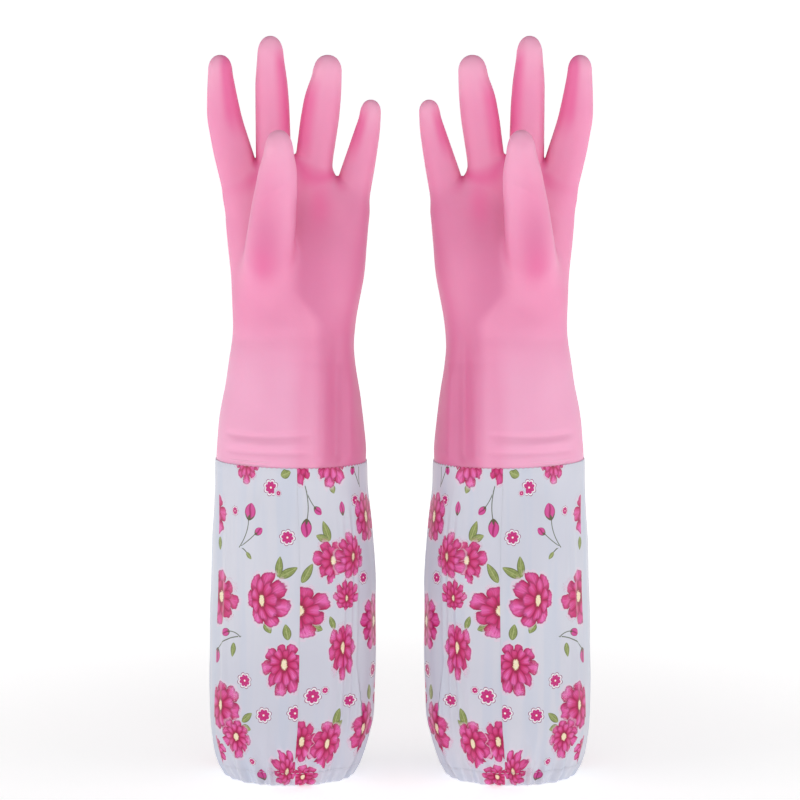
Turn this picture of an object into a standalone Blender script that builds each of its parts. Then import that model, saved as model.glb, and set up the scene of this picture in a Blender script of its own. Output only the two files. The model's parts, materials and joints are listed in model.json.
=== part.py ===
"""A pair of long-sleeved rubber gloves, standing filled out on their hems, palms towards -Y.

Each glove is a dipped rubber hand with five stalls that bend, an adhesive band, a printed sleeve in
two panels with their seam strips, and a hem casing with its elastic and its stitching. The left
glove is modelled about its own upright axis. The right one is its mirror image.
"""

import math

import bmesh
import bpy
import numpy as np
from mathutils import Matrix, Vector

# ---------------------------------------------------------------- driving dimensions, in metres
GLOVE_SPACING = 0.1456  # from one glove's upright axis to the other's

SLEEVE_HEIGHT = 0.2155  # floor to the sleeve's upper edge
GAUNTLET_HEIGHT = 0.0875  # sleeve's upper edge to the wrist
PALM_HEIGHT = 0.1060  # wrist to where the palm closes between the stalls

HEM_WIDTH, HEM_DEPTH = 0.0890, 0.0740  # outside the casing
SLEEVE_WIDTH, SLEEVE_DEPTH = 0.1110, 0.0930  # at its widest
CUFF_WIDTH, CUFF_DEPTH = 0.0990, 0.0820  # of the rubber, at the joint
WRIST_WIDTH, WRIST_DEPTH = 0.0800, 0.0580
PALM_WIDTH, PALM_DEPTH = 0.0965, 0.0440
KNUCKLE_DEPTH = 0.0260  # where the palm meets the finger stalls

RUBBER_WALL = 0.0012
SLEEVE_WALL = 0.0008
LAP = 0.0120  # how far the sleeve laps over the rubber
GLUE_THICKNESS = 0.0004
SEAM_WIDTH, SEAM_THICKNESS = 0.0050, 0.0005
CASING_HEIGHT, CASING_THICKNESS, CASING_WALL = 0.0120, 0.0048, 0.0010
ELASTIC_HEIGHT, ELASTIC_THICKNESS = 0.0080, 0.0014
THREAD_RADIUS = 0.0004
STITCH_FROM_EDGE = 0.0020  # below the casing's upper edge
CLEARANCE = 0.0003  # between pieces that touch

FINGER_RANGE = 55.0  # degrees that a finger stall bends
THUMB_RANGE = 40.0
NOTCH_SPARE = 4.0  # degrees that a notch is wider than its stall's range
NOTCH_FLAT = 0.0002  # half the gap on the side away from the notch

FRONT_SEAM_ANGLE, SIDE_SEAM_ANGLE = -84.2, -158.0  # degrees round the sleeve, 0 at +X, -90 at -Y

RING_POINTS, STALL_POINTS = 28, 14  # round one ring of a glove, and of a stall
PALM_POWER, WRIST_POWER, STALL_POWER = 2.4, 2.2, 2.1  # 2 is an ellipse, more is squarer
SLEEVE_POWER = 2.0  # and the rubber's, where the sleeve laps over it
CAP_STEPS = (0.45, 0.75, 0.93)  # places of a rounded tip's rings, 1 at the very end

WRIST_Z = SLEEVE_HEIGHT + GAUNTLET_HEIGHT
KNUCKLE_Z = WRIST_Z + PALM_HEIGHT

# Each stall: rows of height above its datum, centre x, centre y, half width and half depth, from its
# root in the palm to its last full ring; then its tip, and the height of its bending axis. A finger's
# datum is the palm's top, so that it rises and falls with it, and the thumb's is the wrist.
STALLS = {
    "index_finger": {
        "datum": KNUCKLE_Z,
        "rows": (
            (-0.028, -0.0285, 0.000, 0.0140, 0.0120),
            (0.012, -0.0372, 0.000, 0.0128, 0.0115),
            (0.036, -0.0428, -0.001, 0.0117, 0.0108),
            (0.052, -0.0445, -0.002, 0.0103, 0.0098),
            (0.068, -0.0456, -0.003, 0.0083, 0.0083),
        ),
        "tip": 0.0780,
        "axis": 0.0190,
        "bends": (0.0, -1.0, 0.0),
        "range": FINGER_RANGE,
    },
    "middle_finger": {
        "datum": KNUCKLE_Z,
        "rows": (
            (-0.028, -0.0085, 0.000, 0.0130, 0.0120),
            (0.012, -0.0112, 0.000, 0.0117, 0.0115),
            (0.044, -0.0117, -0.001, 0.0113, 0.0108),
            (0.060, -0.0120, -0.002, 0.0110, 0.0102),
            (0.078, -0.0123, -0.003, 0.0090, 0.0088),
        ),
        "tip": 0.0905,
        "axis": 0.0250,
        "bends": (0.0, -1.0, 0.0),
        "range": FINGER_RANGE,
    },
    "ring_finger": {
        "datum": KNUCKLE_Z,
        "rows": (
            (-0.028, 0.0125, 0.000, 0.0130, 0.0120),
            (0.008, 0.0155, 0.000, 0.0124, 0.0115),
            (0.036, 0.0193, -0.001, 0.0124, 0.0108),
            (0.052, 0.0218, -0.002, 0.0117, 0.0102),
            (0.067, 0.0240, -0.003, 0.0096, 0.0090),
        ),
        "tip": 0.0780,
        "axis": 0.0220,
        "bends": (0.0, -1.0, 0.0),
        "range": FINGER_RANGE,
    },
    "little_finger": {
        "datum": KNUCKLE_Z,
        "rows": (
            (-0.036, 0.0362, 0.000, 0.0128, 0.0115),
            (-0.002, 0.0438, 0.000, 0.0116, 0.0108),
            (0.012, 0.0475, -0.001, 0.0106, 0.0100),
            (0.028, 0.0514, -0.002, 0.0089, 0.0088),
            (0.040, 0.0538, -0.003, 0.0071, 0.0073),
        ),
        "tip": 0.0485,
        "axis": 0.0090,
        "bends": (0.0, -1.0, 0.0),
        "range": FINGER_RANGE,
    },
    "thumb": {
        "datum": WRIST_Z,
        "rows": (
            (0.010, -0.0230, -0.004, 0.0120, 0.0110),
            (0.042, -0.0180, -0.020, 0.0165, 0.0150),
            (0.072, -0.0130, -0.037, 0.0155, 0.0130),
            (0.096, -0.0090, -0.045, 0.0132, 0.0118),
            (0.122, -0.0073, -0.051, 0.0100, 0.0095),
        ),
        "tip": 0.1350,
        "axis": 0.0740,
        "bends": (1.0, 0.0, 0.0),
        "range": THUMB_RANGE,
    },
}

PINK = (0.807, 0.292, 0.440)
LAVENDER_WHITE = (0.640, 0.650, 0.730)
SEAM_WHITE = (0.740, 0.740, 0.790)
GLUE_CLEAR = (0.800, 0.740, 0.620)
ELASTIC_WHITE = (0.780, 0.780, 0.780)


# ---------------------------------------------------------------- scene, materials and collections
def clear_scene():
    for obj in list(bpy.data.objects):
        bpy.data.objects.remove(obj, do_unlink=True)


def new_collection(name):
    collection = bpy.data.collections.new(name)
    bpy.context.scene.collection.children.link(collection)
    return collection


def make_material(name, colour, roughness):
    material = bpy.data.materials.new(name)
    material.use_nodes = True
    shader = material.node_tree.nodes["Principled BSDF"]
    shader.inputs["Base Color"].default_value = (*colour, 1.0)
    shader.inputs["Roughness"].default_value = roughness
    shader.inputs["Metallic"].default_value = 0.0
    return material


# ---------------------------------------------------------------- rings, lofts and strips
def smooth(rows, heights):
    """The rows' values at each height, on cubic stretches whose slopes are the rows' own."""
    table = np.array(rows, float)
    at, values = table[:, 0], table[:, 1:]
    slopes = np.gradient(values, at, axis=0)
    heights = np.clip(np.asarray(heights, float), at[0], at[-1])
    low = np.clip(np.searchsorted(at, heights, side="right") - 1, 0, len(at) - 2)
    span = (at[low + 1] - at[low])[:, None]
    t = ((heights - at[low]) / span[:, 0])[:, None]
    rise = 3 * t**2 - 2 * t**3
    return (
        values[low] * (1 - rise)
        + values[low + 1] * rise
        + slopes[low] * span * (t**3 - 2 * t**2 + t)
        + slopes[low + 1] * span * (t**3 - t**2)
    )


def ring(centre_x, centre_y, z, half_width, half_depth, power, angles):
    """Points of |x/a|^power + |y/b|^power = 1 at these angles, anticlockwise from above."""
    c, s = np.cos(angles), np.sin(angles)
    x = centre_x + half_width * np.sign(c) * np.abs(c) ** (2 / power)
    y = centre_y + half_depth * np.sign(s) * np.abs(s) ** (2 / power)
    return np.stack([x, y, np.full_like(x, z)], axis=1)


def full_turn(count):
    return np.arange(count) * 2 * math.pi / count


def new_object(name, mesh, collection, material=None):
    obj = bpy.data.objects.new(name, mesh)
    collection.objects.link(obj)
    if material:
        mesh.materials.append(material)
    return obj


def mesh_from_rings(name, rings, closed_ring=True, caps=False):
    """A surface through rings of equally many points, from the lowest up."""
    shape = bmesh.new()
    rows = [[shape.verts.new(point) for point in points] for points in rings]
    count = len(rows[0])
    for lower, upper in zip(rows, rows[1:]):
        for i in range(count if closed_ring else count - 1):
            j = (i + 1) % count
            shape.faces.new((lower[i], lower[j], upper[j], upper[i]))
    if caps:
        shape.faces.new(rows[0][::-1])
        shape.faces.new(rows[-1])
    mesh = bpy.data.meshes.new(name)
    shape.to_mesh(mesh)
    shape.free()
    return mesh


def swept_section(name, section, ring_at):
    """A closed section of (inset, z) points carried round the rings that ring_at(inset, z) gives."""
    rings = [ring_at(inset, z) for inset, z in section]
    mesh = mesh_from_rings(name, [*rings, rings[0]])
    shape = bmesh.new()
    shape.from_mesh(mesh)
    bmesh.ops.remove_doubles(shape, verts=shape.verts, dist=1e-6)
    bmesh.ops.recalc_face_normals(shape, faces=shape.faces)
    shape.to_mesh(mesh)
    shape.free()
    return mesh


def solidify(obj, thickness):
    """Gives an open surface a wall, inwards from its outer face."""
    modifier = obj.modifiers.new("wall", "SOLIDIFY")
    modifier.thickness = thickness
    modifier.offset = -1.0


def boolean(obj, other, operation):
    modifier = obj.modifiers.new(operation.lower(), "BOOLEAN")
    modifier.operation = operation
    modifier.solver = "EXACT"
    modifier.object = other


def bake(obj):
    """Applies the modifiers to the mesh, so that the mirrored glove can share it."""
    graph = bpy.context.evaluated_depsgraph_get()
    mesh = bpy.data.meshes.new_from_object(obj.evaluated_get(graph), depsgraph=graph)
    obj.modifiers.clear()
    obj.data = mesh
    mesh.shade_smooth()
    mesh.set_sharp_from_angle(angle=math.radians(35))


def as_cutter(obj):
    obj.hide_render = True
    obj.display_type = "WIRE"


# ---------------------------------------------------------------- the rubber hand
def palm_rows(wall):
    """Rows of the gauntlet and palm, from the lap up to the closed top: the last value is the power."""
    cuff, wrist, palm = CUFF_WIDTH / 2, WRIST_WIDTH / 2, PALM_WIDTH / 2
    cuff_d, wrist_d, palm_d = CUFF_DEPTH / 2, WRIST_DEPTH / 2, PALM_DEPTH / 2
    knuckle_d = KNUCKLE_DEPTH / 2
    down = GAUNTLET_HEIGHT
    rows = (
        (-down - LAP, 0.0005, 0.0, cuff, cuff_d, SLEEVE_POWER),
        (-down, 0.0005, 0.0, cuff, cuff_d, SLEEVE_POWER),
        (-down * 0.60, 0.0004, 0.0, 0.75 * cuff + 0.25 * wrist, 0.72 * cuff_d + 0.28 * wrist_d, SLEEVE_POWER),
        (-down * 0.25, 0.0010, 0.0, 0.22 * cuff + 0.78 * wrist, 0.25 * cuff_d + 0.75 * wrist_d, WRIST_POWER),
        (0.0, 0.0016, 0.0, wrist, wrist_d, WRIST_POWER),
        (
            PALM_HEIGHT * 0.25,
            0.0043,
            -0.001,
            0.6 * wrist + 0.4 * palm,
            0.4 * wrist_d + 0.6 * palm_d,
            WRIST_POWER,
        ),
        (PALM_HEIGHT * 0.55, 0.0046, -0.001, 0.18 * wrist + 0.82 * palm, palm_d, PALM_POWER),
        (PALM_HEIGHT * 0.85, 0.0040, 0.0, palm, 0.5 * palm_d + 0.5 * knuckle_d, PALM_POWER),
    )
    return [(z, x, y, a - wall, b - wall, power) for z, x, y, a, b, power in rows]


def palm_rings(wall, reach_down):
    rows = palm_rows(wall)
    heights = [
        -GAUNTLET_HEIGHT - LAP,
        *(-GAUNTLET_HEIGHT * f for f in (1.0, 0.66, 0.33, 0.0)),
        *(PALM_HEIGHT * f for f in (0.25, 0.45, 0.65, 0.85)),
    ]
    angles = full_turn(RING_POINTS)
    rings = [
        ring(x, y, WRIST_Z + z, a, b, power, angles)
        for z, (x, y, a, b, power) in zip(heights, smooth(rows, heights))
    ]
    # the top closes over the last part of its height, thinning front to back faster than side to side
    x, y, a, b, power = smooth(rows, [rows[-1][0]])[0]
    low, top = PALM_HEIGHT * 0.85, PALM_HEIGHT - wall
    for step in CAP_STEPS:
        thin = math.sqrt(1 - step**2)
        z = WRIST_Z + low + (top - low) * step
        rings.append(ring(x, y, z, a * (0.78 + 0.22 * thin), b * thin, power, angles))
    if reach_down:
        rings.insert(0, rings[0] - np.array([0.0, 0.0, reach_down]))
    return rings


def stall_rings(stall, wall):
    rows = stall["rows"]
    low, high, tip = rows[0][0], rows[-1][0], stall["tip"] - wall
    heights = np.linspace(low, high, 6)
    angles = full_turn(STALL_POINTS)
    rings = [
        ring(x, y, stall["datum"] + z, a - wall, b - wall, STALL_POWER, angles)
        for z, (x, y, a, b) in zip(heights, smooth(rows, heights))
    ]
    x, y, a, b = smooth(rows, [high])[0]
    before = smooth(rows, [high - 0.01])[0]
    for step in CAP_STEPS:
        thin = math.sqrt(1 - step**2)
        ahead = (tip - high) * step
        shift = (np.array([x, y]) - before[:2]) / 0.01 * ahead
        rings.append(
            ring(
                x + shift[0],
                y + shift[1],
                stall["datum"] + high + ahead,
                (a - wall) * thin,
                (b - wall) * thin,
                STALL_POWER,
                angles,
            )
        )
    return rings


def bending_frame(stall):
    """The bending axis's place and its frame: X along the axis, Y away from the bend, Z up the stall."""
    z = stall["axis"]
    x, y, _, _ = smooth(stall["rows"], [z])[0]
    above, below = smooth(stall["rows"], [z + 0.008, z - 0.008])[:, :2]
    along = Vector((*(above - below), 0.016)).normalized()
    bends = Vector(stall["bends"])
    axis = along.cross(bends).normalized()
    away = along.cross(axis)
    frame = Matrix((axis, away, along)).transposed().to_4x4()
    return Matrix.Translation((x, y, stall["datum"] + z)) @ frame


def notch_cutter(name, stall, collection, above):
    """A prism on one side of the bending axis. Two of them leave a notch on the side that closes."""
    half = math.radians(stall["range"] / 2 + NOTCH_SPARE / 2)
    reach = 2.2 * max(max(row[3], row[4]) for row in stall["rows"])
    length = 1.5 * (stall["tip"] - stall["rows"][0][0])
    side = 1.0 if above else -1.0
    start, rise = -side * NOTCH_FLAT, reach * math.tan(half)
    # in the plane across the axis: Y away from the bend, Z up the stall
    outline = [
        (reach, start),
        (0.0, start),
        (-reach, start - side * rise),
        (-reach, side * length),
        (reach, side * length),
    ]
    shape = bmesh.new()
    ends = [[shape.verts.new((x, y, z)) for y, z in outline] for x in (-reach, reach)]
    shape.faces.new(ends[0])
    shape.faces.new(ends[1][::-1])
    for i in range(len(outline)):
        j = (i + 1) % len(outline)
        shape.faces.new((ends[0][i], ends[0][j], ends[1][j], ends[1][i]))
    bmesh.ops.recalc_face_normals(shape, faces=shape.faces)
    mesh = bpy.data.meshes.new(name)
    shape.to_mesh(mesh)
    shape.free()
    obj = new_object(name, mesh, collection)
    obj.matrix_world = bending_frame(stall)
    as_cutter(obj)
    return obj


def make_hand(parts, cutters, rubber):
    """The palm shell, open below and at its five stubs, and the five stalls that continue the stubs."""
    palm = new_object(
        "left_palm_shell", mesh_from_rings("palm", palm_rings(0.0, 0.0), caps=True), parts, rubber
    )
    inside = new_object(
        "palm_inside", mesh_from_rings("palm_inside", palm_rings(RUBBER_WALL, LAP), caps=True), cutters
    )
    as_cutter(inside)
    stalls, hollows = [], []
    for name, stall in STALLS.items():
        outer_mesh = mesh_from_rings(name, stall_rings(stall, 0.0), caps=True)
        inner_mesh = mesh_from_rings(name + "_inside", stall_rings(stall, RUBBER_WALL), caps=True)
        hollow = new_object(name + "_hollow", inner_mesh, cutters)
        stub = new_object(name + "_stub", outer_mesh.copy(), cutters)
        as_cutter(hollow)
        as_cutter(stub)
        boolean(stub, notch_cutter(name + "_above", stall, cutters, above=True), "DIFFERENCE")
        obj = new_object("left_" + name, outer_mesh, parts, rubber)
        boolean(obj, hollow, "DIFFERENCE")
        boolean(obj, notch_cutter(name + "_below", stall, cutters, above=False), "DIFFERENCE")
        boolean(palm, stub, "UNION")
        stalls.append((obj, bending_frame(stall)))
        hollows.append(hollow)
    for hollow in [inside, *hollows]:
        boolean(palm, hollow, "DIFFERENCE")
    bpy.context.view_layer.update()
    for obj in [palm, *(stall for stall, _ in stalls)]:
        bake(obj)
    for obj, frame in stalls:
        obj.data.transform(frame.inverted())
        obj.matrix_world = frame
    return [palm, *(stall for stall, _ in stalls)]


# ---------------------------------------------------------------- the sleeve and its hem
def sleeve_ring(inset, z, angles):
    """A ring of the sleeve's outer face, moved inwards by inset."""
    top_width = CUFF_WIDTH / 2 + GLUE_THICKNESS + SLEEVE_WALL + 2 * CLEARANCE
    top_depth = CUFF_DEPTH / 2 + GLUE_THICKNESS + SLEEVE_WALL + 2 * CLEARANCE
    hem, hem_d = HEM_WIDTH / 2, HEM_DEPTH / 2
    wide, wide_d = SLEEVE_WIDTH / 2, SLEEVE_DEPTH / 2
    above = SLEEVE_HEIGHT - CASING_HEIGHT
    rows = (
        (0.0, -0.0020, hem, hem_d),
        (CASING_HEIGHT, -0.0020, hem, hem_d),
        (CASING_HEIGHT + above * 0.04, -0.0024, 0.45 * hem + 0.55 * wide, 0.5 * (hem_d + wide_d)),
        (CASING_HEIGHT + above * 0.12, -0.0015, 0.98 * wide, 0.97 * wide_d),
        (CASING_HEIGHT + above * 0.30, 0.0002, wide, wide_d),
        (CASING_HEIGHT + above * 0.60, 0.0012, 0.985 * wide, 0.98 * wide_d),
        (SLEEVE_HEIGHT - LAP - 0.030, 0.0005, 0.5 * (wide + top_width), 0.5 * (wide_d + top_depth)),
        (SLEEVE_HEIGHT - LAP, 0.0005, top_width, top_depth),
        (SLEEVE_HEIGHT, 0.0005, top_width, top_depth),
    )
    x, half_width, half_depth = smooth(rows, [z])[0]
    return ring(x, 0.0, z, half_width - inset, half_depth - inset, SLEEVE_POWER, angles)


def sleeve_heights():
    low = CASING_HEIGHT + CLEARANCE
    above = SLEEVE_HEIGHT - LAP - low
    return [*(low + above * f for f in (0, 0.05, 0.14, 0.35, 0.65, 0.86, 1.0)), SLEEVE_HEIGHT]


def arc(start, end):
    """Angles from start to end, in degrees: both ends, and those of a full ring that lie between."""
    step = 360 / RING_POINTS
    between = np.arange(math.ceil(start / step), math.floor(end / step) + 1) * step
    between = between[(between > start + 0.1 * step) & (between < end - 0.1 * step)]
    return np.radians([start, *between, end])


def make_strip(name, start, end, inset, thickness, heights, collection, material):
    """Part of the sleeve's surface between two angles in degrees, with a wall inwards from its face."""
    angles = arc(start, end)
    rings = [sleeve_ring(inset, z, angles) for z in heights]
    mesh = mesh_from_rings(name, rings, closed_ring=False)
    obj = new_object(name, mesh, collection, material)
    solidify(obj, thickness)
    return obj


def make_sleeve(parts, fabric, seam_material, glue, elastic_material, thread):
    edge = math.degrees(CLEARANCE / SLEEVE_WIDTH)  # half the gap between the panels' edges
    heights = sleeve_heights()
    front, side = FRONT_SEAM_ANGLE, SIDE_SEAM_ANGLE
    spans = {"front": (side + edge, front - edge), "wrap": (front + edge, side + 360 - edge)}
    made = [
        make_strip(f"left_sleeve_{name}_panel", *span, 0.0, SLEEVE_WALL, heights, parts, fabric)
        for name, span in spans.items()
    ]

    # the strips back the seams inside the sleeve, from the casing to just under the lap
    half = math.degrees(SEAM_WIDTH / SLEEVE_WIDTH)
    inside = SLEEVE_WALL + CLEARANCE
    free_top = SLEEVE_HEIGHT - LAP - CLEARANCE
    strip_heights = [heights[0] + CLEARANCE, *heights[1:-2], free_top]
    for name, angle in (("front", front), ("side", side)):
        made.append(
            make_strip(
                f"left_{name}_seam_strip",
                angle - half,
                angle + half,
                inside,
                SEAM_THICKNESS,
                strip_heights,
                parts,
                seam_material,
            )
        )

    around = full_turn(RING_POINTS)
    glue_heights = (SLEEVE_HEIGHT - LAP + 2 * CLEARANCE, SLEEVE_HEIGHT - CLEARANCE)
    glue_rings = [sleeve_ring(inside, z, around) for z in glue_heights]
    band = new_object("left_adhesive_band", mesh_from_rings("glue", glue_rings), parts, glue)
    solidify(band, GLUE_THICKNESS)
    made.append(band)

    deep, wall = CASING_THICKNESS, CASING_WALL
    channel = [
        (0.0, 0.0),
        (deep, 0.0),
        (deep, CASING_HEIGHT),
        (deep - wall, CASING_HEIGHT),
        (deep - wall, wall),
        (wall, wall),
        (wall, CASING_HEIGHT),
        (0.0, CASING_HEIGHT),
    ]
    casing_mesh = swept_section("casing", channel, lambda inset, z: hem_ring(inset, z, around))
    made.append(new_object("left_hem_casing", casing_mesh, parts, fabric))

    slack = (deep - 2 * wall - ELASTIC_THICKNESS) / 2
    low = wall + CLEARANCE
    band_section = [
        (wall + slack, low),
        (wall + slack + ELASTIC_THICKNESS, low),
        (wall + slack + ELASTIC_THICKNESS, low + ELASTIC_HEIGHT),
        (wall + slack, low + ELASTIC_HEIGHT),
    ]
    elastic_mesh = swept_section("elastic", band_section, lambda inset, z: hem_ring(inset, z, around))
    made.append(new_object("left_hem_elastic", elastic_mesh, parts, elastic_material))
    made.append(make_stitching(parts, thread, around))

    bpy.context.view_layer.update()
    for obj in made:
        bake(obj)
    return made


def hem_ring(inset, z, angles):
    """A ring of the casing, whose walls stand upright."""
    points = sleeve_ring(inset, 0.0, angles)
    points[:, 2] = z
    return points


def make_stitching(parts, thread, around):
    """One thread round the casing's outer face, as a curve made a mesh."""
    points = hem_ring(-CLEARANCE - THREAD_RADIUS, CASING_HEIGHT - STITCH_FROM_EDGE, around)
    curve = bpy.data.curves.new("stitching", "CURVE")
    curve.dimensions = "3D"
    curve.bevel_depth = THREAD_RADIUS
    curve.bevel_resolution = 1
    line = curve.splines.new("POLY")
    line.points.add(len(points) - 1)
    line.points.foreach_set("co", np.hstack([points, np.ones((len(points), 1))]).ravel())
    line.use_cyclic_u = True
    guide = new_object("stitching_path", curve, parts)
    bpy.context.view_layer.update()
    graph = bpy.context.evaluated_depsgraph_get()
    mesh = bpy.data.meshes.new_from_object(guide.evaluated_get(graph), depsgraph=graph)
    bpy.data.objects.remove(guide, do_unlink=True)
    return new_object("left_hem_stitching", mesh, parts, thread)


# ---------------------------------------------------------------- the pair
def mirror_glove(pieces, holder, parts):
    """The right glove: each piece again, with the same mesh, under a holder that mirrors it in X."""
    for piece in pieces:
        copy = bpy.data.objects.new(piece.name.replace("left_", "right_"), piece.data)
        parts.objects.link(copy)
        copy.parent = holder
        copy.matrix_basis = piece.matrix_basis


def stand_on_origin(holders, parts):
    """Moves both gloves in Y, so that the pair's box is centred on the origin."""
    bpy.context.view_layer.update()
    ys = [(obj.matrix_world @ vertex.co).y for obj in parts.objects for vertex in obj.data.vertices]
    for holder in holders:
        holder.location.y -= (min(ys) + max(ys)) / 2


def main():
    clear_scene()
    parts = new_collection("rubber_gloves")
    cutters = new_collection("cutters")
    frames = new_collection("frames")
    rubber = make_material("pink_rubber", PINK, 0.42)
    fabric = make_material("sleeve_film", LAVENDER_WHITE, 0.35)
    seam_material = make_material("seam_film", SEAM_WHITE, 0.35)
    glue = make_material("glue", GLUE_CLEAR, 0.30)
    elastic_material = make_material("elastic", ELASTIC_WHITE, 0.80)
    thread = make_material("thread", SEAM_WHITE, 0.60)

    pieces = make_hand(parts, cutters, rubber)
    pieces += make_sleeve(parts, fabric, seam_material, glue, elastic_material, thread)

    holders = []
    for name, side in (("left_glove", -1.0), ("right_glove", 1.0)):
        holder = bpy.data.objects.new(name, None)
        frames.objects.link(holder)
        holder.location = (side * GLOVE_SPACING / 2, 0.0, 0.0)
        holder.scale = (-side, 1.0, 1.0)
        holders.append(holder)
    for piece in pieces:
        piece.parent = holders[0]
    mirror_glove(pieces, holders[1], parts)
    stand_on_origin(holders, parts)


main()
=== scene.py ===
import json

import bpy
import numpy as np
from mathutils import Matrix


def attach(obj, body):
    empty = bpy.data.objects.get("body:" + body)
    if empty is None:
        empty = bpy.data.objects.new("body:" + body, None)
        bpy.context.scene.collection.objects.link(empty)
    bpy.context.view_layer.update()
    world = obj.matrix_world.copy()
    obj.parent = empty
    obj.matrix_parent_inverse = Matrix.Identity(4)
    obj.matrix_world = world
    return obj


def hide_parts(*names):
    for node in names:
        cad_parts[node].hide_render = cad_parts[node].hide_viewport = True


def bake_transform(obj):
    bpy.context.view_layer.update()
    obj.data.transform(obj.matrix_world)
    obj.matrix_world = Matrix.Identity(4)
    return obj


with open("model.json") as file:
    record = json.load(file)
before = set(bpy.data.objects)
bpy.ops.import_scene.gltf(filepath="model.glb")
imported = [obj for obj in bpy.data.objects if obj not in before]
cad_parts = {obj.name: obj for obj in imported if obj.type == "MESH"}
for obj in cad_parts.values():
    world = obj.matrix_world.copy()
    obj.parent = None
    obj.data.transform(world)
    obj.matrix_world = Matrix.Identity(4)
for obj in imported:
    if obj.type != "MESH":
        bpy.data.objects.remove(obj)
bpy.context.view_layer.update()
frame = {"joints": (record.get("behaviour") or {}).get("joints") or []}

# ---------------------------------------------------------------------------------------------
# The dipped hand: one skin of pink latex rubber over the whole hand and gauntlet, drawn off a
# hand-shaped former. It bends at the root of each stall, so it is cut there into a palm skin and
# five stalls that meet edge to edge. The wall is under a millimetre.
SKIN_WALL = 0.0008
SKIN_CELL = 0.0014  # the spacing of the skin's faces
# Where a glove stands. Each glove is modelled about its own upright axis, thumb side at -X and
# palm towards -Y, and set down beside the other. The right hand's is the left hand's mirrored.
GLOVE_AXIS_X = -0.0728
GLOVE_AXIS_Y = 0.0070
WRIST_Z = 0.3030
KNUCKLE_Z = 0.4090
LAP_TOP_Z = 0.2155  # upper edge of the sleeve

# height above the wrist, centre x, centre y, half width, half depth
PALM_ROWS = np.array([
    (-0.1020, -0.0003, 0.0000, 0.0503, 0.0416),
    (-0.0875, -0.0003, 0.0000, 0.0503, 0.0416),
    (-0.0719, -0.0001, 0.0000, 0.0499, 0.0410),
    (-0.0525, 0.0001, 0.0000, 0.0474, 0.0380),
    (-0.0219, 0.0008, 0.0000, 0.0423, 0.0320),
    (0.0000, 0.0016, 0.0000, 0.0400, 0.0290),
    (0.0265, 0.0043, -0.0010, 0.0433, 0.0262),
    (0.0583, 0.0046, -0.0010, 0.0468, 0.0216),
    (0.0901, 0.0038, 0.0000, 0.0474, 0.0148),
    (0.1100, 0.0034, 0.0000, 0.0478, 0.0119),
])
# how high the palm's skin runs at each x, along the webs between the stalls
WEB_X = (-0.0520, -0.0400, -0.0245, -0.0100, 0.0030, 0.0180, 0.0310, 0.0430, 0.0560)
WEB_Z = (0.4060, 0.4100, 0.4120, 0.4160, 0.4205, 0.4150, 0.4080, 0.4030, 0.3990)
WEB_CLOSING = 0.0200

# the same rows for each stall, above the knuckle line or, for the thumb, the wrist; then its tip
STALLS = {
    "index": (KNUCKLE_Z, 0.0780, [
        (-0.030, -0.0262, 0.000, 0.0128, 0.0112),
        (-0.014, -0.0310, 0.000, 0.0136, 0.0116),
        (0.012, -0.0376, 0.000, 0.0134, 0.0117),
        (0.036, -0.0435, -0.001, 0.0117, 0.0108),
        (0.052, -0.0451, -0.002, 0.0099, 0.0096),
        (0.068, -0.0461, -0.003, 0.0079, 0.0081),
    ]),
    "middle": (KNUCKLE_Z, 0.0905, [
        (-0.028, -0.0085, 0.000, 0.0130, 0.0120),
        (0.012, -0.0112, 0.000, 0.0117, 0.0115),
        (0.044, -0.0117, -0.001, 0.0113, 0.0108),
        (0.060, -0.0123, -0.002, 0.0107, 0.0102),
        (0.078, -0.0128, -0.003, 0.0086, 0.0087),
    ]),
    "ring": (KNUCKLE_Z, 0.0780, [
        (-0.028, 0.0125, 0.000, 0.0130, 0.0120),
        (0.008, 0.0157, 0.000, 0.0125, 0.0115),
        (0.036, 0.0197, -0.001, 0.0129, 0.0110),
        (0.052, 0.0219, -0.002, 0.0121, 0.0104),
        (0.067, 0.0250, -0.003, 0.0094, 0.0090),
    ]),
    "little": (KNUCKLE_Z, 0.0485, [
        (-0.040, 0.0345, 0.000, 0.0118, 0.0110),
        (-0.018, 0.0398, 0.000, 0.0127, 0.0111),
        (-0.002, 0.0436, 0.000, 0.0116, 0.0108),
        (0.012, 0.0472, -0.001, 0.0103, 0.0099),
        (0.028, 0.0511, -0.002, 0.0086, 0.0086),
        (0.040, 0.0535, -0.003, 0.0068, 0.0071),
    ]),
    "thumb": (WRIST_Z, 0.1370, [
        (0.006, -0.0190, -0.003, 0.0115, 0.0110),
        (0.042, -0.0150, -0.020, 0.0165, 0.0150),
        (0.072, -0.0112, -0.037, 0.0160, 0.0130),
        (0.096, -0.0080, -0.045, 0.0143, 0.0118),
        (0.112, -0.0066, -0.0485, 0.0124, 0.0107),
        (0.123, -0.0058, -0.0512, 0.0093, 0.0090),
    ]),
}
# where each stall's skin joins its neighbours' on one web, above which the two stay apart
JOINING_Z = {
    "index": (0.4110, 0.4210),
    "middle": (0.4120, 0.4200),
    "ring": (0.4180, 0.4260),
    "little": (0.4010, 0.4090),
    "thumb": (0.3700, 0.3790),
}
# along each stall from its hinge: where its own skin starts
STALL_STARTS = {"index": -0.0070, "middle": -0.0040, "ring": -0.0030, "little": -0.0070, "thumb": 0.0010}


def placed(points, side):
    """A glove's own points moved to where that glove stands, with X turned over for the right hand."""
    out = points + np.array([GLOVE_AXIS_X, GLOVE_AXIS_Y, 0.0])
    return out * np.array([-1.0, 1.0, 1.0]) if side == "right" else out


def between(heights, values, z, window):
    """The rows' values at height z, straight between rows and then averaged over a short window."""
    steps = np.linspace(-window, window, 7)
    return np.mean([np.interp(z + step, heights, values) for step in steps], axis=0)


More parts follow.
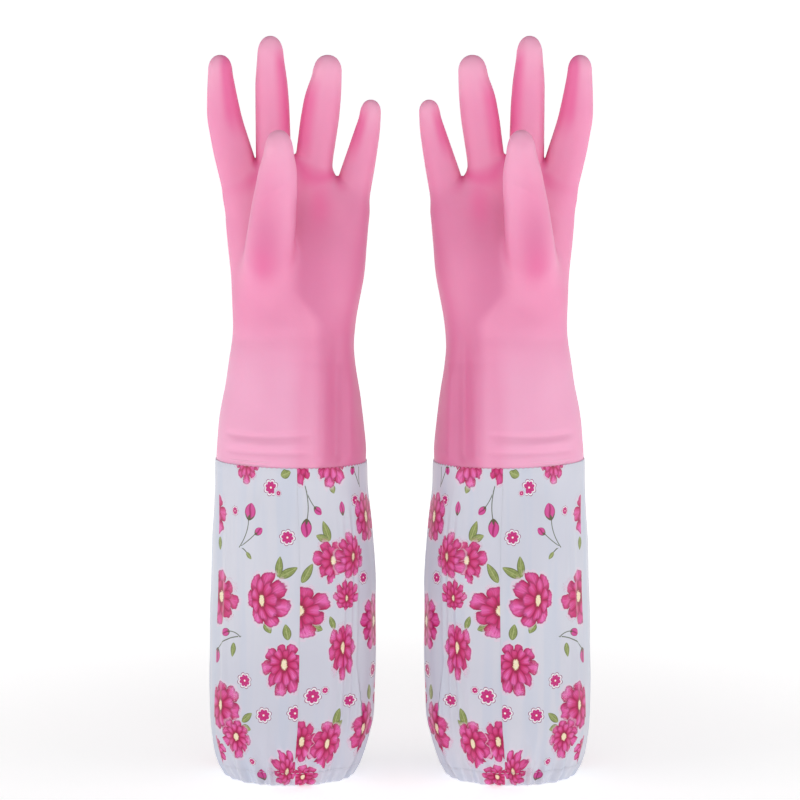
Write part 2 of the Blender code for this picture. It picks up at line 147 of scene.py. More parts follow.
def fade(value, low, high):
    """0 below low, 1 above high, and 3t^2 - 2t^3 between them."""
    t = np.clip((value - low) / (high - low), 0.0, 1.0)
    return t * t * (3.0 - 2.0 * t)


def hump(value, centre, half_width):
    """A bell: exp of minus the squared distance from the centre over the half width."""
    return np.exp(-(((value - centre) / half_width) ** 2))


def rounded(dx, dy, dz, a, b, c, power):
    """(|dx/a|^p + |dy/b|^p + |dz/c|^p)^(1/p) - 1 over the length of its own gradient: a distance near the skin."""
    u, v, w = np.abs(dx / a) + 1e-6, np.abs(dy / b) + 1e-6, np.abs(dz / c)
    whole = u**power + v**power + w**power
    size = whole ** (1.0 / power)
    slope = np.sqrt((u ** (power - 1) / a) ** 2 + (v ** (power - 1) / b) ** 2 + (w ** (power - 1) / c) ** 2)
    return (size - 1.0) * whole ** (1.0 - 1.0 / power) / slope


def palm_field(x, y, z):
    """The palm and gauntlet: a rounded section at each height, closing along the web line."""
    rise = z - WRIST_Z
    heights = PALM_ROWS[:, 0]
    cx, cy, a, b = (between(heights, PALM_ROWS[:, i], rise, 0.012) for i in range(1, 5))
    top = between(WEB_X, WEB_Z, x, 0.006)
    power = 2.0 + 0.30 * fade(z, 0.2250, 0.3300)
    return rounded(x - cx, y - cy, np.maximum(z - (top - WEB_CLOSING), 0.0), a, b, WEB_CLOSING, power)


def stall_rows(name):
    """The stall's heights, centres and half sizes as columns, and the height of its tip."""
    datum, tip, rows = STALLS[name]
    rows = np.array(rows)
    return rows[:, 0] + datum, rows[:, 1:], datum + tip


def stall_field(name, x, y, z):
    """A stall: a rounded section at each height, closed by half an egg at the tip and by another in the palm."""
    heights, columns, tip = stall_rows(name)
    cx, cy, a, b = (between(heights, columns[:, i], z, 0.005) for i in range(4))
    over = np.maximum(z - heights[-1], 0.0) / (tip - heights[-1])
    under = np.maximum(heights[0] - z, 0.0) / 0.014
    return rounded(x - cx, y - cy, (over + under) * 0.010, a, b, 0.010, 2.1)


def joined(first, second, reach):
    """The nearer of two distances, rounded off where they are within reach of each other."""
    near = np.clip(reach - np.abs(first - second), 0.0, None) / reach
    return np.minimum(first, second) - near * near * reach / 4.0


def skin_relief(x, y, z):
    """How far the slack rubber stands proud: upright folds at the little-finger side and level creases."""
    front = fade(-y, 0.004, 0.022)
    low = 1.0 - fade(z, 0.265, 0.325)
    upright = 0.0020 * hump(x, 0.0215, 0.0040) - 0.0024 * hump(x, 0.0300, 0.0036)
    upright = upright + 0.0015 * hump(x, 0.0405, 0.0036) - 0.0004 * hump(x, 0.0080, 0.0070)
    level = -0.0010 * hump(z, 0.2365 + 0.06 * (x + 0.02) ** 2 / 0.04, 0.0022)
    level = level + 0.0008 * hump(z, 0.2315, 0.0026) - 0.0008 * hump(z, 0.2260, 0.0020)
    level = level * (1.0 - fade(x, 0.000, 0.020)) * fade(x, -0.046, -0.034)
    wrist = -0.0007 * hump(z, 0.3010 + 0.05 * x, 0.0055) * (1.0 - 0.5 * fade(x, -0.02, 0.03))
    wrist = wrist - 0.0005 * hump(z, 0.2870 - 0.10 * x, 0.0040) * fade(x, -0.02, 0.03)
    # the palm dishes in between the ball of the thumb and the little finger's side
    palm = -0.0012 * hump(x, 0.0140, 0.0130) * hump(z, 0.3700, 0.0300)
    palm = palm + 0.0012 * hump(x, 0.0330, 0.0120) * hump(z, 0.3500, 0.0300)
    # the thumb's face is a little flat, with a slanting ridge across it
    thumb = -0.0014 * hump(x, -0.0150, 0.0080) * hump(z, 0.3680, 0.0260)
    thumb = thumb + 0.0007 * hump(z, 0.4010 + 0.55 * (x + 0.0080), 0.0028) * hump(x, -0.0080, 0.0080)
    slack = 0.0004 * np.sin(x * 150 + z * 60) * np.sin(z * 95 - x * 40 + 1.3)
    above_lap = fade(z, 0.2150, 0.2250)
    on_front = front * (low * upright + level + wrist + palm + thumb)
    return above_lap * (on_front + slack * (1.0 - fade(z, 0.38, 0.42)))


def hand_field(x, y, z):
    """The whole skin: palm and stalls joined, each web rounded, less the relief."""
    whole = palm_field(x, y, z)
    for name in STALLS:
        low, high = JOINING_Z[name]
        reach = 0.0012 + (0.0085 if name == "thumb" else 0.0062) * (1.0 - fade(z, low, high))
        whole = joined(whole, stall_field(name, x, y, z), reach)
    return whole - skin_relief(x, y, z)


def outward(field, points, step=0.0003):
    """(distance, unit direction) of the field at each point, by differences along the three axes."""
    x, y, z = points.T
    slope = np.stack([
        field(x + step, y, z) - field(x - step, y, z),
        field(x, y + step, z) - field(x, y - step, z),
        field(x, y, z + step) - field(x, y, z - step),
    ], axis=1) / (2 * step)
    length = np.linalg.norm(slope, axis=1, keepdims=True) + 1e-9
    return field(x, y, z)[:, None] / length, slope / length


def netted(field, low, high, cell):
    """A grid of cells over the box: a point in each cell that the skin crosses, at the mean of its edges'
    crossings, and a four-sided face for each crossed edge, turned to face from inside to outside."""
    axes = [np.arange(a, b + cell, cell) for a, b in zip(low, high)]
    values = field(axes[0][:, None, None], axes[1][None, :, None], axes[2][None, None, :])
    inside = values < 0
    cells = tuple(n - 1 for n in values.shape)
    total, count = np.zeros(cells + (3,)), np.zeros(cells)
    crossings = []
    for axis in range(3):
        head = tuple(slice(0, -1) if i == axis else slice(None) for i in range(3))
        tail = tuple(slice(1, None) if i == axis else slice(None) for i in range(3))
        crossed = inside[head] != inside[tail]
        share = np.where(crossed, values[head] / (values[head] - values[tail] + 1e-15), 0.0)
        place = np.stack(np.meshgrid(*[np.arange(n, dtype=float) for n in crossed.shape], indexing="ij"), -1)
        place[..., axis] += share
        others = [i for i in range(3) if i != axis]
        for p in (0, 1):
            for q in (0, 1):
                take = [slice(None)] * 3
                take[others[0]] = slice(p, crossed.shape[others[0]] - 1 + p)
                take[others[1]] = slice(q, crossed.shape[others[1]] - 1 + q)
                take = tuple(take)
                total += place[take] * crossed[take][..., None]
                count += crossed[take]
        crossings.append((axis, np.argwhere(crossed), inside[head][crossed]))
    used = count > 0
    index = np.full(cells, -1)
    index[used] = np.arange(used.sum())
    points = total[used] / count[used][:, None] * cell + np.array([a[0] for a in axes])
    faces = []
    for axis, where, starts_inside in crossings:
        first, second = (axis + 1) % 3, (axis + 2) % 3
        whole = (where[:, first] > 0) & (where[:, second] > 0)
        whole &= (where[:, first] < cells[first]) & (where[:, second] < cells[second])
        where, starts_inside = where[whole], starts_inside[whole]
        corners = []
        for back_first, back_second in ((1, 1), (0, 1), (0, 0), (1, 0)):
            corner = where.copy()
            corner[:, first] -= back_first
            corner[:, second] -= back_second
            corners.append(index[tuple(corner.T)])
        quads = np.stack(corners, axis=1)
        quads[~starts_inside] = quads[~starts_inside][:, ::-1]
        faces.append(quads)
    return points, np.concatenate(faces)


def relaxed(field, points, faces, rounds, fixed):
    """Each point moved halfway to the mean of its neighbours and then back onto the skin."""
    ends = np.concatenate([faces[:, [i, (i + 1) % 4]] for i in range(4)])
    ends = np.concatenate([ends, ends[:, ::-1]])
    for _ in range(rounds):
        mean = np.stack([np.bincount(ends[:, 0], points[ends[:, 1], i], len(points)) for i in range(3)], 1)
        mean /= np.maximum(np.bincount(ends[:, 0], minlength=len(points)), 1)[:, None]
        moved = np.where(fixed[:, None], points, 0.5 * points + 0.5 * mean)
        for _ in range(2):
            distance, direction = outward(field, moved)
            moved = moved - np.clip(distance, -0.001, 0.001) * direction
        points = moved
    return points


hand_points, hand_faces = netted(
    hand_field, (-0.0610, -0.0640, 0.2045), (0.0640, 0.0440, 0.5020), SKIN_CELL
)
lowest = hand_points[:, 2].min()
hand_points = relaxed(hand_field, hand_points, hand_faces, 3, hand_points[:, 2] < lowest + SKIN_CELL)
hand_normals = outward(hand_field, hand_points)[1]


def stall_line(name):
    """The hinge's place in the glove's own space, and the way the stall points there."""
    joint = next(j for j in frame["joints"] if j["name"] == f"left_{name}_bend")
    hinge = np.array(joint["pos_m"]) - np.array([GLOVE_AXIS_X, GLOVE_AXIS_Y, 0.0])
    heights, columns, _ = stall_rows(name)
    ends = [
        np.array([np.interp(z, heights, columns[:, 0]), np.interp(z, heights, columns[:, 1]), z])
        for z in (hinge[2] - 0.006, hinge[2] + 0.010)
    ]
    along = ends[1] - ends[0]
    return hinge, along / np.linalg.norm(along)


def skin_owners(points, faces):
    """For each face 0 for the palm, or the stall's number: the stall it lies nearest, above that stall's start."""
    centres = points[faces].mean(axis=1)
    x, y, z = centres.T
    distances = np.stack([palm_field(x, y, z), *[stall_field(name, x, y, z) for name in STALLS]])
    nearest = distances.argmin(axis=0)
    owners = np.zeros(len(faces), int)
    for number, name in enumerate(STALLS, 1):
        hinge, along = stall_line(name)
        above = (centres - hinge) @ along > STALL_STARTS[name]
        owners[(nearest == number) & above] = number
    return owners


def shell_of(points, normals, faces, wall):
    """A closed wall: the faces outside, the same faces turned over a wall's depth inside, and rim faces."""
    used, index = np.unique(faces, return_inverse=True)
    faces = index.reshape(faces.shape)
    outer = points[used]
    inner = outer - normals[used] * wall
    count = len(outer)
    ends = np.concatenate([faces[:, [i, (i + 1) % 4]] for i in range(4)])
    key = np.minimum(ends[:, 0], ends[:, 1]) * count + np.maximum(ends[:, 0], ends[:, 1])
    _, first, times = np.unique(key, return_index=True, return_counts=True)
    open_ends = ends[first[times == 1]]
    rim = np.stack([open_ends[:, 1], open_ends[:, 0], open_ends[:, 0] + count, open_ends[:, 1] + count], 1)
    every = np.concatenate([faces, faces[:, ::-1] + count, rim])
    corners = np.concatenate([normals[used][faces], -normals[used][faces[:, ::-1]]]).reshape(-1, 3)
    both = np.concatenate([outer, inner])
    along = both[rim[:, 1]] - both[rim[:, 0]]
    across = both[rim[:, 2]] - both[rim[:, 1]]
    rim_normals = np.cross(along, across)
    rim_normals /= np.linalg.norm(rim_normals, axis=1, keepdims=True) + 1e-12
    return both, every, np.concatenate([corners, np.repeat(rim_normals, 4, axis=0)]), used


def mesh_piece(name, points, faces, material, side="left", corner_normals=None, attributes=None, corners=None):
    """A piece from whole arrays. The right hand's has X turned over and its faces turned round to match."""
    points = placed(points, side)
    faces = np.asarray(faces)
    order = np.arange(faces.size).reshape(faces.shape)
    if side == "right":
        order = order[:, ::-1]
    order = order.reshape(-1)
    sides = faces.shape[1]
    mesh = bpy.data.meshes.new(name)
    mesh.vertices.add(len(points))
    mesh.vertices.foreach_set("co", points.astype(np.float32).reshape(-1))
    mesh.loops.add(faces.size)
    mesh.loops.foreach_set("vertex_index", faces.reshape(-1)[order].astype(np.int32))
    mesh.polygons.add(len(faces))
    mesh.polygons.foreach_set("loop_start", np.arange(0, faces.size, sides, dtype=np.int32))
    mesh.update(calc_edges=True)
    mesh.polygons.foreach_set("use_smooth", np.ones(len(faces), bool))
    for key, values in (attributes or {}).items():
        mesh.attributes.new(key, "FLOAT", "POINT").data.foreach_set("value", values.astype(np.float32))
    for key, values in (corners or {}).items():
        layer = mesh.attributes.new(key, "FLOAT_VECTOR", "CORNER")
        layer.data.foreach_set("vector", values[order].astype(np.float32).reshape(-1))
    mesh.validate()
    if corner_normals is not None:
        turned = corner_normals[order] * (np.array([-1.0, 1.0, 1.0]) if side == "right" else 1.0)
        mesh.normals_split_custom_set(turned.tolist())
    piece = bpy.data.objects.new(name, mesh)
    bpy.context.scene.collection.objects.link(piece)
    mesh.materials.append(material)
    return piece


class Shader:
    """A material's node tree with short words for its nodes, and sums on values written as calls."""

    def __init__(self, name):
        self.material = bpy.data.materials.new(name)
        self.material.use_nodes = True
        self.nodes = self.material.node_tree.nodes
        self.links = self.material.node_tree.links
        self.surface = self.nodes["Principled BSDF"]

    def put(self, socket, value):
        if isinstance(value, bpy.types.NodeSocket):
            self.links.new(value, socket)
        elif value is not None:
            socket.default_value = value

    def node(self, kind, *values, **settings):
        made = self.nodes.new(kind)
        for key, value in settings.items():
            setattr(made, key, value)
        for socket, value in zip(made.inputs, values):
            self.put(socket, value)
        return made

    def sum(self, operation, *values):
        return self.node("ShaderNodeMath", *values, operation=operation).outputs[0]

    def ramp(self, value, low, high, start=0.0, end=1.0, smooth=True):
        kind = "SMOOTHSTEP" if smooth else "LINEAR"
        return self.node("ShaderNodeMapRange", value, low, high, start, end, interpolation_type=kind).outputs[0]

    def mix(self, share, under, over):
        made = self.nodes.new("ShaderNodeMix")
        made.data_type = "RGBA"
        self.put(made.inputs[0], share)
        self.put(made.inputs[6], under)
        self.put(made.inputs[7], over)
        return made.outputs[2]

    def noise(self, where, scale, detail=2.0, roughness=0.5):
        made = self.nodes.new("ShaderNodeTexNoise")
        self.put(made.inputs["Vector"], where)
        made.inputs["Scale"].default_value = scale
        made.inputs["Detail"].default_value = detail
        made.inputs["Roughness"].default_value = roughness
        return made.outputs["Fac"]

    def attribute(self, name, output="Fac"):
        return self.node("ShaderNodeAttribute", attribute_name=name).outputs[output]

    def place(self):
        return self.node("ShaderNodeTexCoord").outputs["Object"]

    def bump(self, height, distance, strength=1.0, onto=None):
        made = self.nodes.new("ShaderNodeBump")
        made.inputs["Strength"].default_value = strength
        made.inputs["Distance"].default_value = distance
        self.put(made.inputs["Height"], height)
        if onto is not None:
            self.put(made.inputs["Normal"], onto)
        return made.outputs[0]

    def finish(self, **values):
        for key, value in values.items():
            self.put(self.surface.inputs[key.replace("_", " ")], value)
        return self.material


# satin latex: paler towards the tips, with painted light on the thumb side and painted shade on the little-finger
# side, on the thumb's flat and in the hollows
rubber = Shader("Pink latex rubber")
place = rubber.place()
cloud = rubber.noise(place, 22.0, 3.0)
# paler towards each tip
tone = rubber.mix(rubber.attribute("tip_paleness"), (0.880, 0.290, 0.480, 1), (0.930, 0.400, 0.570, 1))
tone = rubber.mix(rubber.ramp(cloud, 0.35, 0.70, 0.0, 0.22), tone, (0.800, 0.210, 0.420, 1))
# painted light on the thumb side of the gauntlet and along the thumb's edges
tone = rubber.mix(rubber.attribute("pale"), tone, (0.925, 0.390, 0.585, 1))
# painted shade on the little-finger side, beside the thumb and on the thumb's flat
tone = rubber.mix(rubber.attribute("shade"), tone, (0.700, 0.175, 0.350, 1))
# deeper, redder painted shade in the hollows between the stalls and down one side of the fingers
tone = rubber.mix(rubber.attribute("hollow_shade"), tone, (0.830, 0.105, 0.325, 1))
fine = rubber.noise(place, 900.0, 2.0)
orange = rubber.noise(place, 210.0, 2.0)
# two fine level lines near the gauntlet's edge, left by the former, on the thumb side of the front
sideways, depth, height = rubber.node("ShaderNodeSeparateXYZ", place).outputs
level_line = None
for line_z in (0.2177, 0.2202):
    from_line = rubber.sum("ABSOLUTE", rubber.sum("SUBTRACT", height, line_z))
    line = rubber.ramp(from_line, 0.00045, 0.00015)
    level_line = line if level_line is None else rubber.sum("MAXIMUM", level_line, line)
from_thumb = rubber.sum("ABSOLUTE", sideways)
level_line = rubber.sum("MULTIPLY", level_line, rubber.ramp(from_thumb, 0.0840, 0.0900))
level_line = rubber.sum("MULTIPLY", level_line, rubber.ramp(from_thumb, 0.1150, 0.1100))
level_line = rubber.sum("MULTIPLY", level_line, rubber.ramp(depth, -0.010, -0.020))
grain = rubber.bump(fine, 0.00006, 0.5, rubber.bump(orange, 0.00022, 0.6, rubber.bump(level_line, 0.0002, 0.8)))
RUBBER = rubber.finish(
    Base_Color=rubber.mix(rubber.ramp(level_line, 0.0, 1.0, 0.0, 0.30), tone, (0.950, 0.600, 0.740, 1)),
    Roughness=rubber.ramp(cloud, 0.30, 0.75, 0.42, 0.53),
    Normal=grain,
)
rubber.surface.inputs["Subsurface Weight"].default_value = 0.22
rubber.surface.inputs["Subsurface Radius"].default_value = (0.9, 0.35, 0.5)
rubber.surface.inputs["Subsurface Scale"].default_value = 0.0035
rubber.surface.inputs["Specular IOR Level"].default_value = 0.42
rubber.surface.inputs["Coat Weight"].default_value = 0.05
rubber.surface.inputs["Coat Roughness"].default_value = 0.30


# for each finger: which side of it gets painted shade (-1 thumb side, 1 the other), how far over that starts, and
# from and to what height
SHADED_STALL_SIDES = {
    "index": (1, 0.05, 0.440, 0.492),
    "middle": (1, 0.35, 0.430, 0.490),
    "ring": (-1, 0.30, 0.420, 0.466),
    "little": (-1, 0.20, 0.424, 0.450),
}


def skin_tones(points):
    """Shares from 0 to 1: paler towards each tip; painted light on the gauntlet's thumb side and the thumb's edges;
    painted shade on the little-finger side, beside the thumb and on the thumb's flat, and deeper in the hollows and
    down one side of a finger."""
    x, y, z = points.T
    front = fade(-y, -0.004, 0.010)
    tip_paleness, deep_shade = np.zeros(len(points)), np.zeros(len(points))
    reach = []
    for name in STALLS:
        heights, columns, tip = stall_rows(name)
        distance = stall_field(name, x, y, z)
        near = 1.0 - fade(distance, 0.001, 0.004)
        # paler towards each tip
        tip_paleness = np.maximum(tip_paleness, near * fade(z, tip - 0.4 * (tip - heights[0]), tip) ** 1.3)
        reach.append(distance)
        if name not in SHADED_STALL_SIDES:
            continue
        turned, over, low, high = SHADED_STALL_SIDES[name]
        # painted shade down one side of the finger
        across = turned * (x - np.interp(z, heights, columns[:, 0])) / np.interp(z, heights, columns[:, 2])
        along = fade(z, low - 0.012, low + 0.012) * (1.0 - fade(z, high - 0.010, high + 0.010))
        deep_shade = np.maximum(deep_shade, 0.75 * near * fade(across, over - 0.25, over + 0.35) * along)
    reach = np.sort(np.stack([palm_field(x, y, z), *reach]), axis=0)
    # painted shade in the hollows where two skins come close, round the webs
    hollow_shade = 1.0 - fade(reach[1], 0.0005, 0.0060)
    hollow_shade = 0.85 * hollow_shade * fade(z, 0.392, 0.408) * (1.0 - fade(z, 0.432, 0.446))
    # painted shade on the palm below the ring finger
    deep_shade = np.maximum(deep_shade, 0.5 * hump(x, 0.0200, 0.0070) * hump(z, 0.3890, 0.0150) * front)
    # painted shade over the little-finger side, its edge further towards the thumb higher up
    edge = 0.0180 - 0.0160 * fade(z, 0.308, 0.334)
    little_side_shade = fade(x, edge - 0.004, edge + 0.007) * (1.0 - fade(z, 0.382, 0.408))
    on_thumb = fade(-y, 0.026, 0.036)
    # painted shadow of the thumb on the palm beside it
    thumb_cast_shadow = hump(x, 0.0090, 0.0075) * hump(z, 0.3440, 0.0220) * front * (1.0 - on_thumb)
    little_side_shade = np.maximum(little_side_shade, 0.95 * thumb_cast_shadow)
    # deeper painted shade low on the thumb's face
    deep_shade = np.maximum(deep_shade, 0.40 * hump(x, -0.0175, 0.0080) * hump(z, 0.3500, 0.0130) * on_thumb)
    # the painted shade eased near the little-finger edge of the palm
    little_side_shade = little_side_shade * (1.0 - 0.45 * hump(x, 0.0330, 0.0120) * fade(z, 0.300, 0.330))
    # painted shade on the thumb's flat face
    thumb_flat_shade = hump(x, -0.0150, 0.0120) * hump(z, 0.3660, 0.0290) * on_thumb
    # painted light on the thumb side of the gauntlet, and on the thumb away from the middle of its face
    pale = (1.0 - fade(z, 0.268, 0.322)) * (1.0 - fade(x, -0.004, 0.018))
    pale = np.maximum(pale, 0.5 * on_thumb * (1.0 - hump(x, -0.0150, 0.0110)))
    return {
        "tip_paleness": tip_paleness,
        "hollow_shade": np.maximum(hollow_shade, deep_shade),
        "shade": np.maximum(0.80 * little_side_shade, 0.85 * thumb_flat_shade),
        "pale": pale,
    }


hand_owners = skin_owners(hand_points, hand_faces)
for number, name in enumerate(["palm", *STALLS]):
    own = hand_faces[hand_owners == number]
    both, every, corner_normals, used = shell_of(hand_points, hand_normals, own, SKIN_WALL)
    tones = {key: np.tile(value, 2) for key, value in skin_tones(hand_points[used]).items()}
    for side in ("left", "right"):
        label = "palm_skin" if number == 0 else f"{name}_stall_skin"
        piece = mesh_piece(f"{side}_{label}", both, every, RUBBER, side, corner_normals, tones)
        if number == 0:
            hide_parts(f"{side}_palm_shell")
            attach(piece, f"{side}_glove")
            continue
        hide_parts(f"{side}_{name}" + ("" if name == "thumb" else "_finger"))
        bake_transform(piece)

# ---------------------------------------------------------------------------------------------
# The sleeve: soft printed film, cut as a narrow front panel and a wide panel that wraps round the
# arm, welded edge to edge. It is glued over the rubber at the top, hangs in slack upright folds
# and is drawn in by the elastic at the hem.
FILM = 0.00035
FRONT_SEAM = np.radians(5.8)  # round the arm from the middle of the front, towards the little finger
SIDE_SEAM = np.radians(-68.0)
WRAP_END = SIDE_SEAM + 2 * np.pi
SEAM_GAP = np.radians(0.04)
SLEEVE_FOOT = 0.0095

# height, centre x, half width, half depth
SLEEVE_ROWS = np.array([
    (-0.0100, -0.0022, 0.0405, 0.0345),
    (0.0000, -0.0022, 0.0412, 0.0350),
    (0.0045, -0.0022, 0.0436, 0.0368),
    (0.0090, -0.0023, 0.0466, 0.0392),
    (0.0150, -0.0023, 0.0494, 0.0414),
    (0.0230, -0.0022, 0.0518, 0.0434),
    (0.0310, -0.0018, 0.0534, 0.0448),
    (0.0400, -0.0010, 0.0546, 0.0458),
    (0.0731, 0.0002, 0.0552, 0.0463),
    (0.1341, 0.0012, 0.0543, 0.0454),
    (0.1735, 0.0008, 0.0528, 0.0440),
    (0.2000, -0.0002, 0.0513, 0.0426),
    (0.2300, -0.0003, 0.0511, 0.0424),
])


def film_folds(turn, z):
    """How far the film stands out: gathers that double up towards the hem, upright folds on the little-finger
    side, a pleat that drops off sharply on its far side, and slow waves all round."""
    fine = np.cos(46 * turn + 3.1 * np.sin(3 * turn + 0.5) + 1.7 * np.sin(7 * turn + 2.0))
    wide = np.cos(23 * turn + 2.0 * np.sin(3 * turn + 1.1) + 0.9 * np.sin(5 * turn))
    out = 0.0009 * fine * (1.0 - fade(z, 0.004, 0.026)) + 0.0012 * wide * (1.0 - fade(z, 0.010, 0.048))
    degrees = np.degrees(turn)
    long = fade(z, 0.010, 0.050) * (1.0 - fade(z, 0.150, 0.205))
    for centre, half_width, height in (
        (30.0, 4.0, 0.0009), (38.0, 2.4, 0.0019), (45.0, 2.2, 0.0016), (51.0, 2.0, 0.0012),
        (-44.0, 4.5, 0.0010), (-55.0, 3.0, 0.0012), (-22.0, 7.0, 0.0006), (84.0, 5.0, 0.0014),
        (104.0, 6.0, -0.0012), (128.0, 5.0, 0.0013), (150.0, 4.0, 0.0009), (176.0, 8.0, -0.0010),
        (205.0, 5.0, 0.0013), (222.0, 3.5, 0.0010), (244.0, 5.0, -0.0010), (268.0, 4.5, 0.0012),
    ):
        lean = centre + 14.0 * (z - 0.10) * np.sign(centre)
        out = out + height * long * hump(degrees, lean, half_width)
    pleat = 54.5 + 6.0 * (0.0574 - z) / 0.0467
    past = degrees - pleat
    proud = 0.0040 * np.exp(np.minimum(past, 0.0) / 5.0) * (1.0 - fade(past, -0.2, 0.9))
    sunk = -0.0032 * fade(past, -0.2, 0.9) * np.exp(-np.maximum(past, 0.0) / 4.0)
    out = out + (proud + sunk) * (1.0 - fade(z, 0.050, 0.092)) * fade(z, -0.004, 0.016)
    slow = 0.0006 * np.sin(5 * turn + 0.6 + 14 * z) + 0.0004 * np.sin(9 * turn - 30 * z)
    slow = slow + 0.0003 * np.sin(3 * turn + 70 * z) * np.sin(55 * z)
    return (out + slow * fade(z, 0.0, 0.03)) * (1.0 - fade(z, 0.190, 0.203))


def on_sleeve(turn, z, inset=0.0):
    """The film's face: an ellipse at each height, its folds added along the radius, less the inset."""
    cx, a, b = (between(SLEEVE_ROWS[:, 0], SLEEVE_ROWS[:, i], z, 0.004) for i in (1, 2, 3))
    out = film_folds(turn, z) - inset
    return np.stack([cx + (a + out) * np.sin(turn), -(b + out) * np.cos(turn), z], axis=-1)


def grid_faces(rows, columns, closed=False):
    """Four-sided faces of a grid of points, rows by columns, joined round when closed."""
    around = columns if closed else columns - 1
    r, c = np.meshgrid(np.arange(rows - 1), np.arange(around), indexing="ij")
    n = (c + 1) % columns
    faces = np.stack([r * columns + c, r * columns + n, (r + 1) * columns + n, (r + 1) * columns + c], axis=-1)
    return faces.reshape(-1, 4)


def grid_normals(points):
    """Unit normals of a grid of points, rows by columns: along the columns crossed with along the rows."""
    normal = np.cross(np.gradient(points, axis=1), np.gradient(points, axis=0))
    return normal / (np.linalg.norm(normal, axis=-1, keepdims=True) + 1e-12)


# The print: sprays of magenta blooms, olive leaves, small daisies and buds on thin stems, on pale
# film. Places are millimetres round the arm from the middle of the front and up from the hem.
# Each panel is printed on its own, so a flower that meets a seam is cut off there.
ARM_TURNS = np.radians(np.arange(-90.0, 361.0))
ARM_STEP = np.sqrt((0.0550 * np.cos(ARM_TURNS)) ** 2 + (0.0460 * np.sin(ARM_TURNS)) ** 2)
ARM_LENGTH = np.concatenate([[0.0], np.cumsum((ARM_STEP[1:] + ARM_STEP[:-1]) / 2 * np.radians(1.0))])
ARM_LENGTH = (ARM_LENGTH - np.interp(0.0, ARM_TURNS, ARM_LENGTH)) * 1000.0
HALF_ROUND = 159.0
SLEEVE_REPEAT = 214.0

# panel, layer, round, up, half width, half height, how far the heart sits off centre (2), seed
BLOOMS = [
    ("front", "near", -15.7, 126.0, 15.0, 19.0, -0.34, -0.10, 0.13),
    ("front", "near", -57.0, 126.0, 20.0, 18.5, 0.02, 0.05, 0.37),
    ("front", "near", -4.6, 79.0, 13.9, 18.2, 0.02, 0.16, 0.71),
    ("front", "near", -71.0, 184.0, 19.0, 17.0, 0.00, 0.00, 0.52),
    ("front", "far", -51.0, 53.0, 15.0, 17.5, -0.10, 0.05, 0.24),
    ("front", "near", -39.5, 32.5, 12.0, 13.0, 0.10, 0.12, 0.93),
    ("front", "near", -59.0, 22.0, 8.0, 10.0, 0.00, 0.20, 0.61),
    ("front", "near", -32.0, 217.0, 10.0, 13.0, 0.00, 0.00, 0.82),
    ("front", "near", -3.5, 11.0, 10.5, 13.0, 0.35, -0.30, 0.45),
    ("wrap", "near", 6.5, 117.6, 20.0, 17.5, -0.05, 0.00, 0.29),
    ("wrap", "near", 8.5, 212.5, 9.0, 13.5, 0.00, 0.20, 0.05),
    ("wrap", "near", 30.5, 214.0, 13.0, 15.5, 0.00, 0.10, 0.66),
    ("wrap", "far", 27.5, 150.0, 12.5, 15.0, 0.15, 0.00, 0.17),
    ("wrap", "near", 42.0, 152.5, 12.5, 15.0, 0.20, -0.10, 0.88),
    ("wrap", "far", 38.6, 127.0, 9.5, 11.5, 0.00, -0.30, 0.99),
    ("wrap", "near", 35.2, 88.5, 10.2, 19.5, 0.05, 0.15, 0.34),
    ("wrap", "near", 64.0, 180.0, 14.0, 18.0, 0.00, 0.00, 0.58),
    ("wrap", "near", 68.0, 108.0, 16.0, 17.5, 0.10, 0.00, 0.76),
    ("wrap", "near", 58.0, 36.0, 14.0, 18.5, 0.10, 0.00, 0.21),
    ("wrap", "far", 9.0, 29.5, 12.0, 16.0, 0.00, 0.00, 0.48),
    ("wrap", "near", 27.0, 25.0, 12.5, 17.0, 0.05, 0.10, 0.09),
    ("wrap", "near", 12.0, 4.0, 13.0, 8.5, 0.00, 0.00, 0.63),
]
# panel, round, up, length, width, way it points in degrees, seed
LEAVES = [
    ("front", -6.0, 206.0, 7.5, 6.0, 20, 0.1), ("front", -60.0, 167.0, 9.0, 4.0, -85, 0.2),
    ("front", -9.0, 140.0, 14.0, 5.4, 84, 0.3), ("front", -8.6, 139.6, 14.5, 6.0, 28, 0.4),
    ("front", -18.0, 110.0, 8.5, 5.6, -58, 0.5), ("front", -2.0, 98.0, 11.0, 5.8, 100, 0.6),
    ("front", -41.0, 98.0, 10.0, 4.4, -98, 0.7), ("front", -34.0, 44.0, 10.5, 5.0, 41, 0.8),
    ("front", -34.5, 41.0, 8.2, 5.0, -10, 0.9), ("front", -32.2, 158.6, 6.0, 3.0, -48, 0.15),
    ("wrap", 6.8, 136.0, 15.0, 6.0, 57, 0.25), ("wrap", 14.0, 107.0, 8.0, 5.2, -22, 0.35),
    ("wrap", 29.5, 104.0, 9.6, 4.2, 110, 0.45), ("wrap", 31.0, 37.0, 14.0, 5.0, 76, 0.55),
    ("wrap", 31.5, 37.0, 8.0, 4.6, 38, 0.65), ("wrap", 27.2, 163.0, 14.0, 5.4, 106, 0.75),
    ("wrap", 26.8, 163.0, 10.0, 5.4, 156, 0.85), ("wrap", 30.6, 200.0, 6.5, 4.6, -70, 0.95),
    ("wrap", 65.0, 55.0, 11.5, 6.5, 104, 0.05),
]
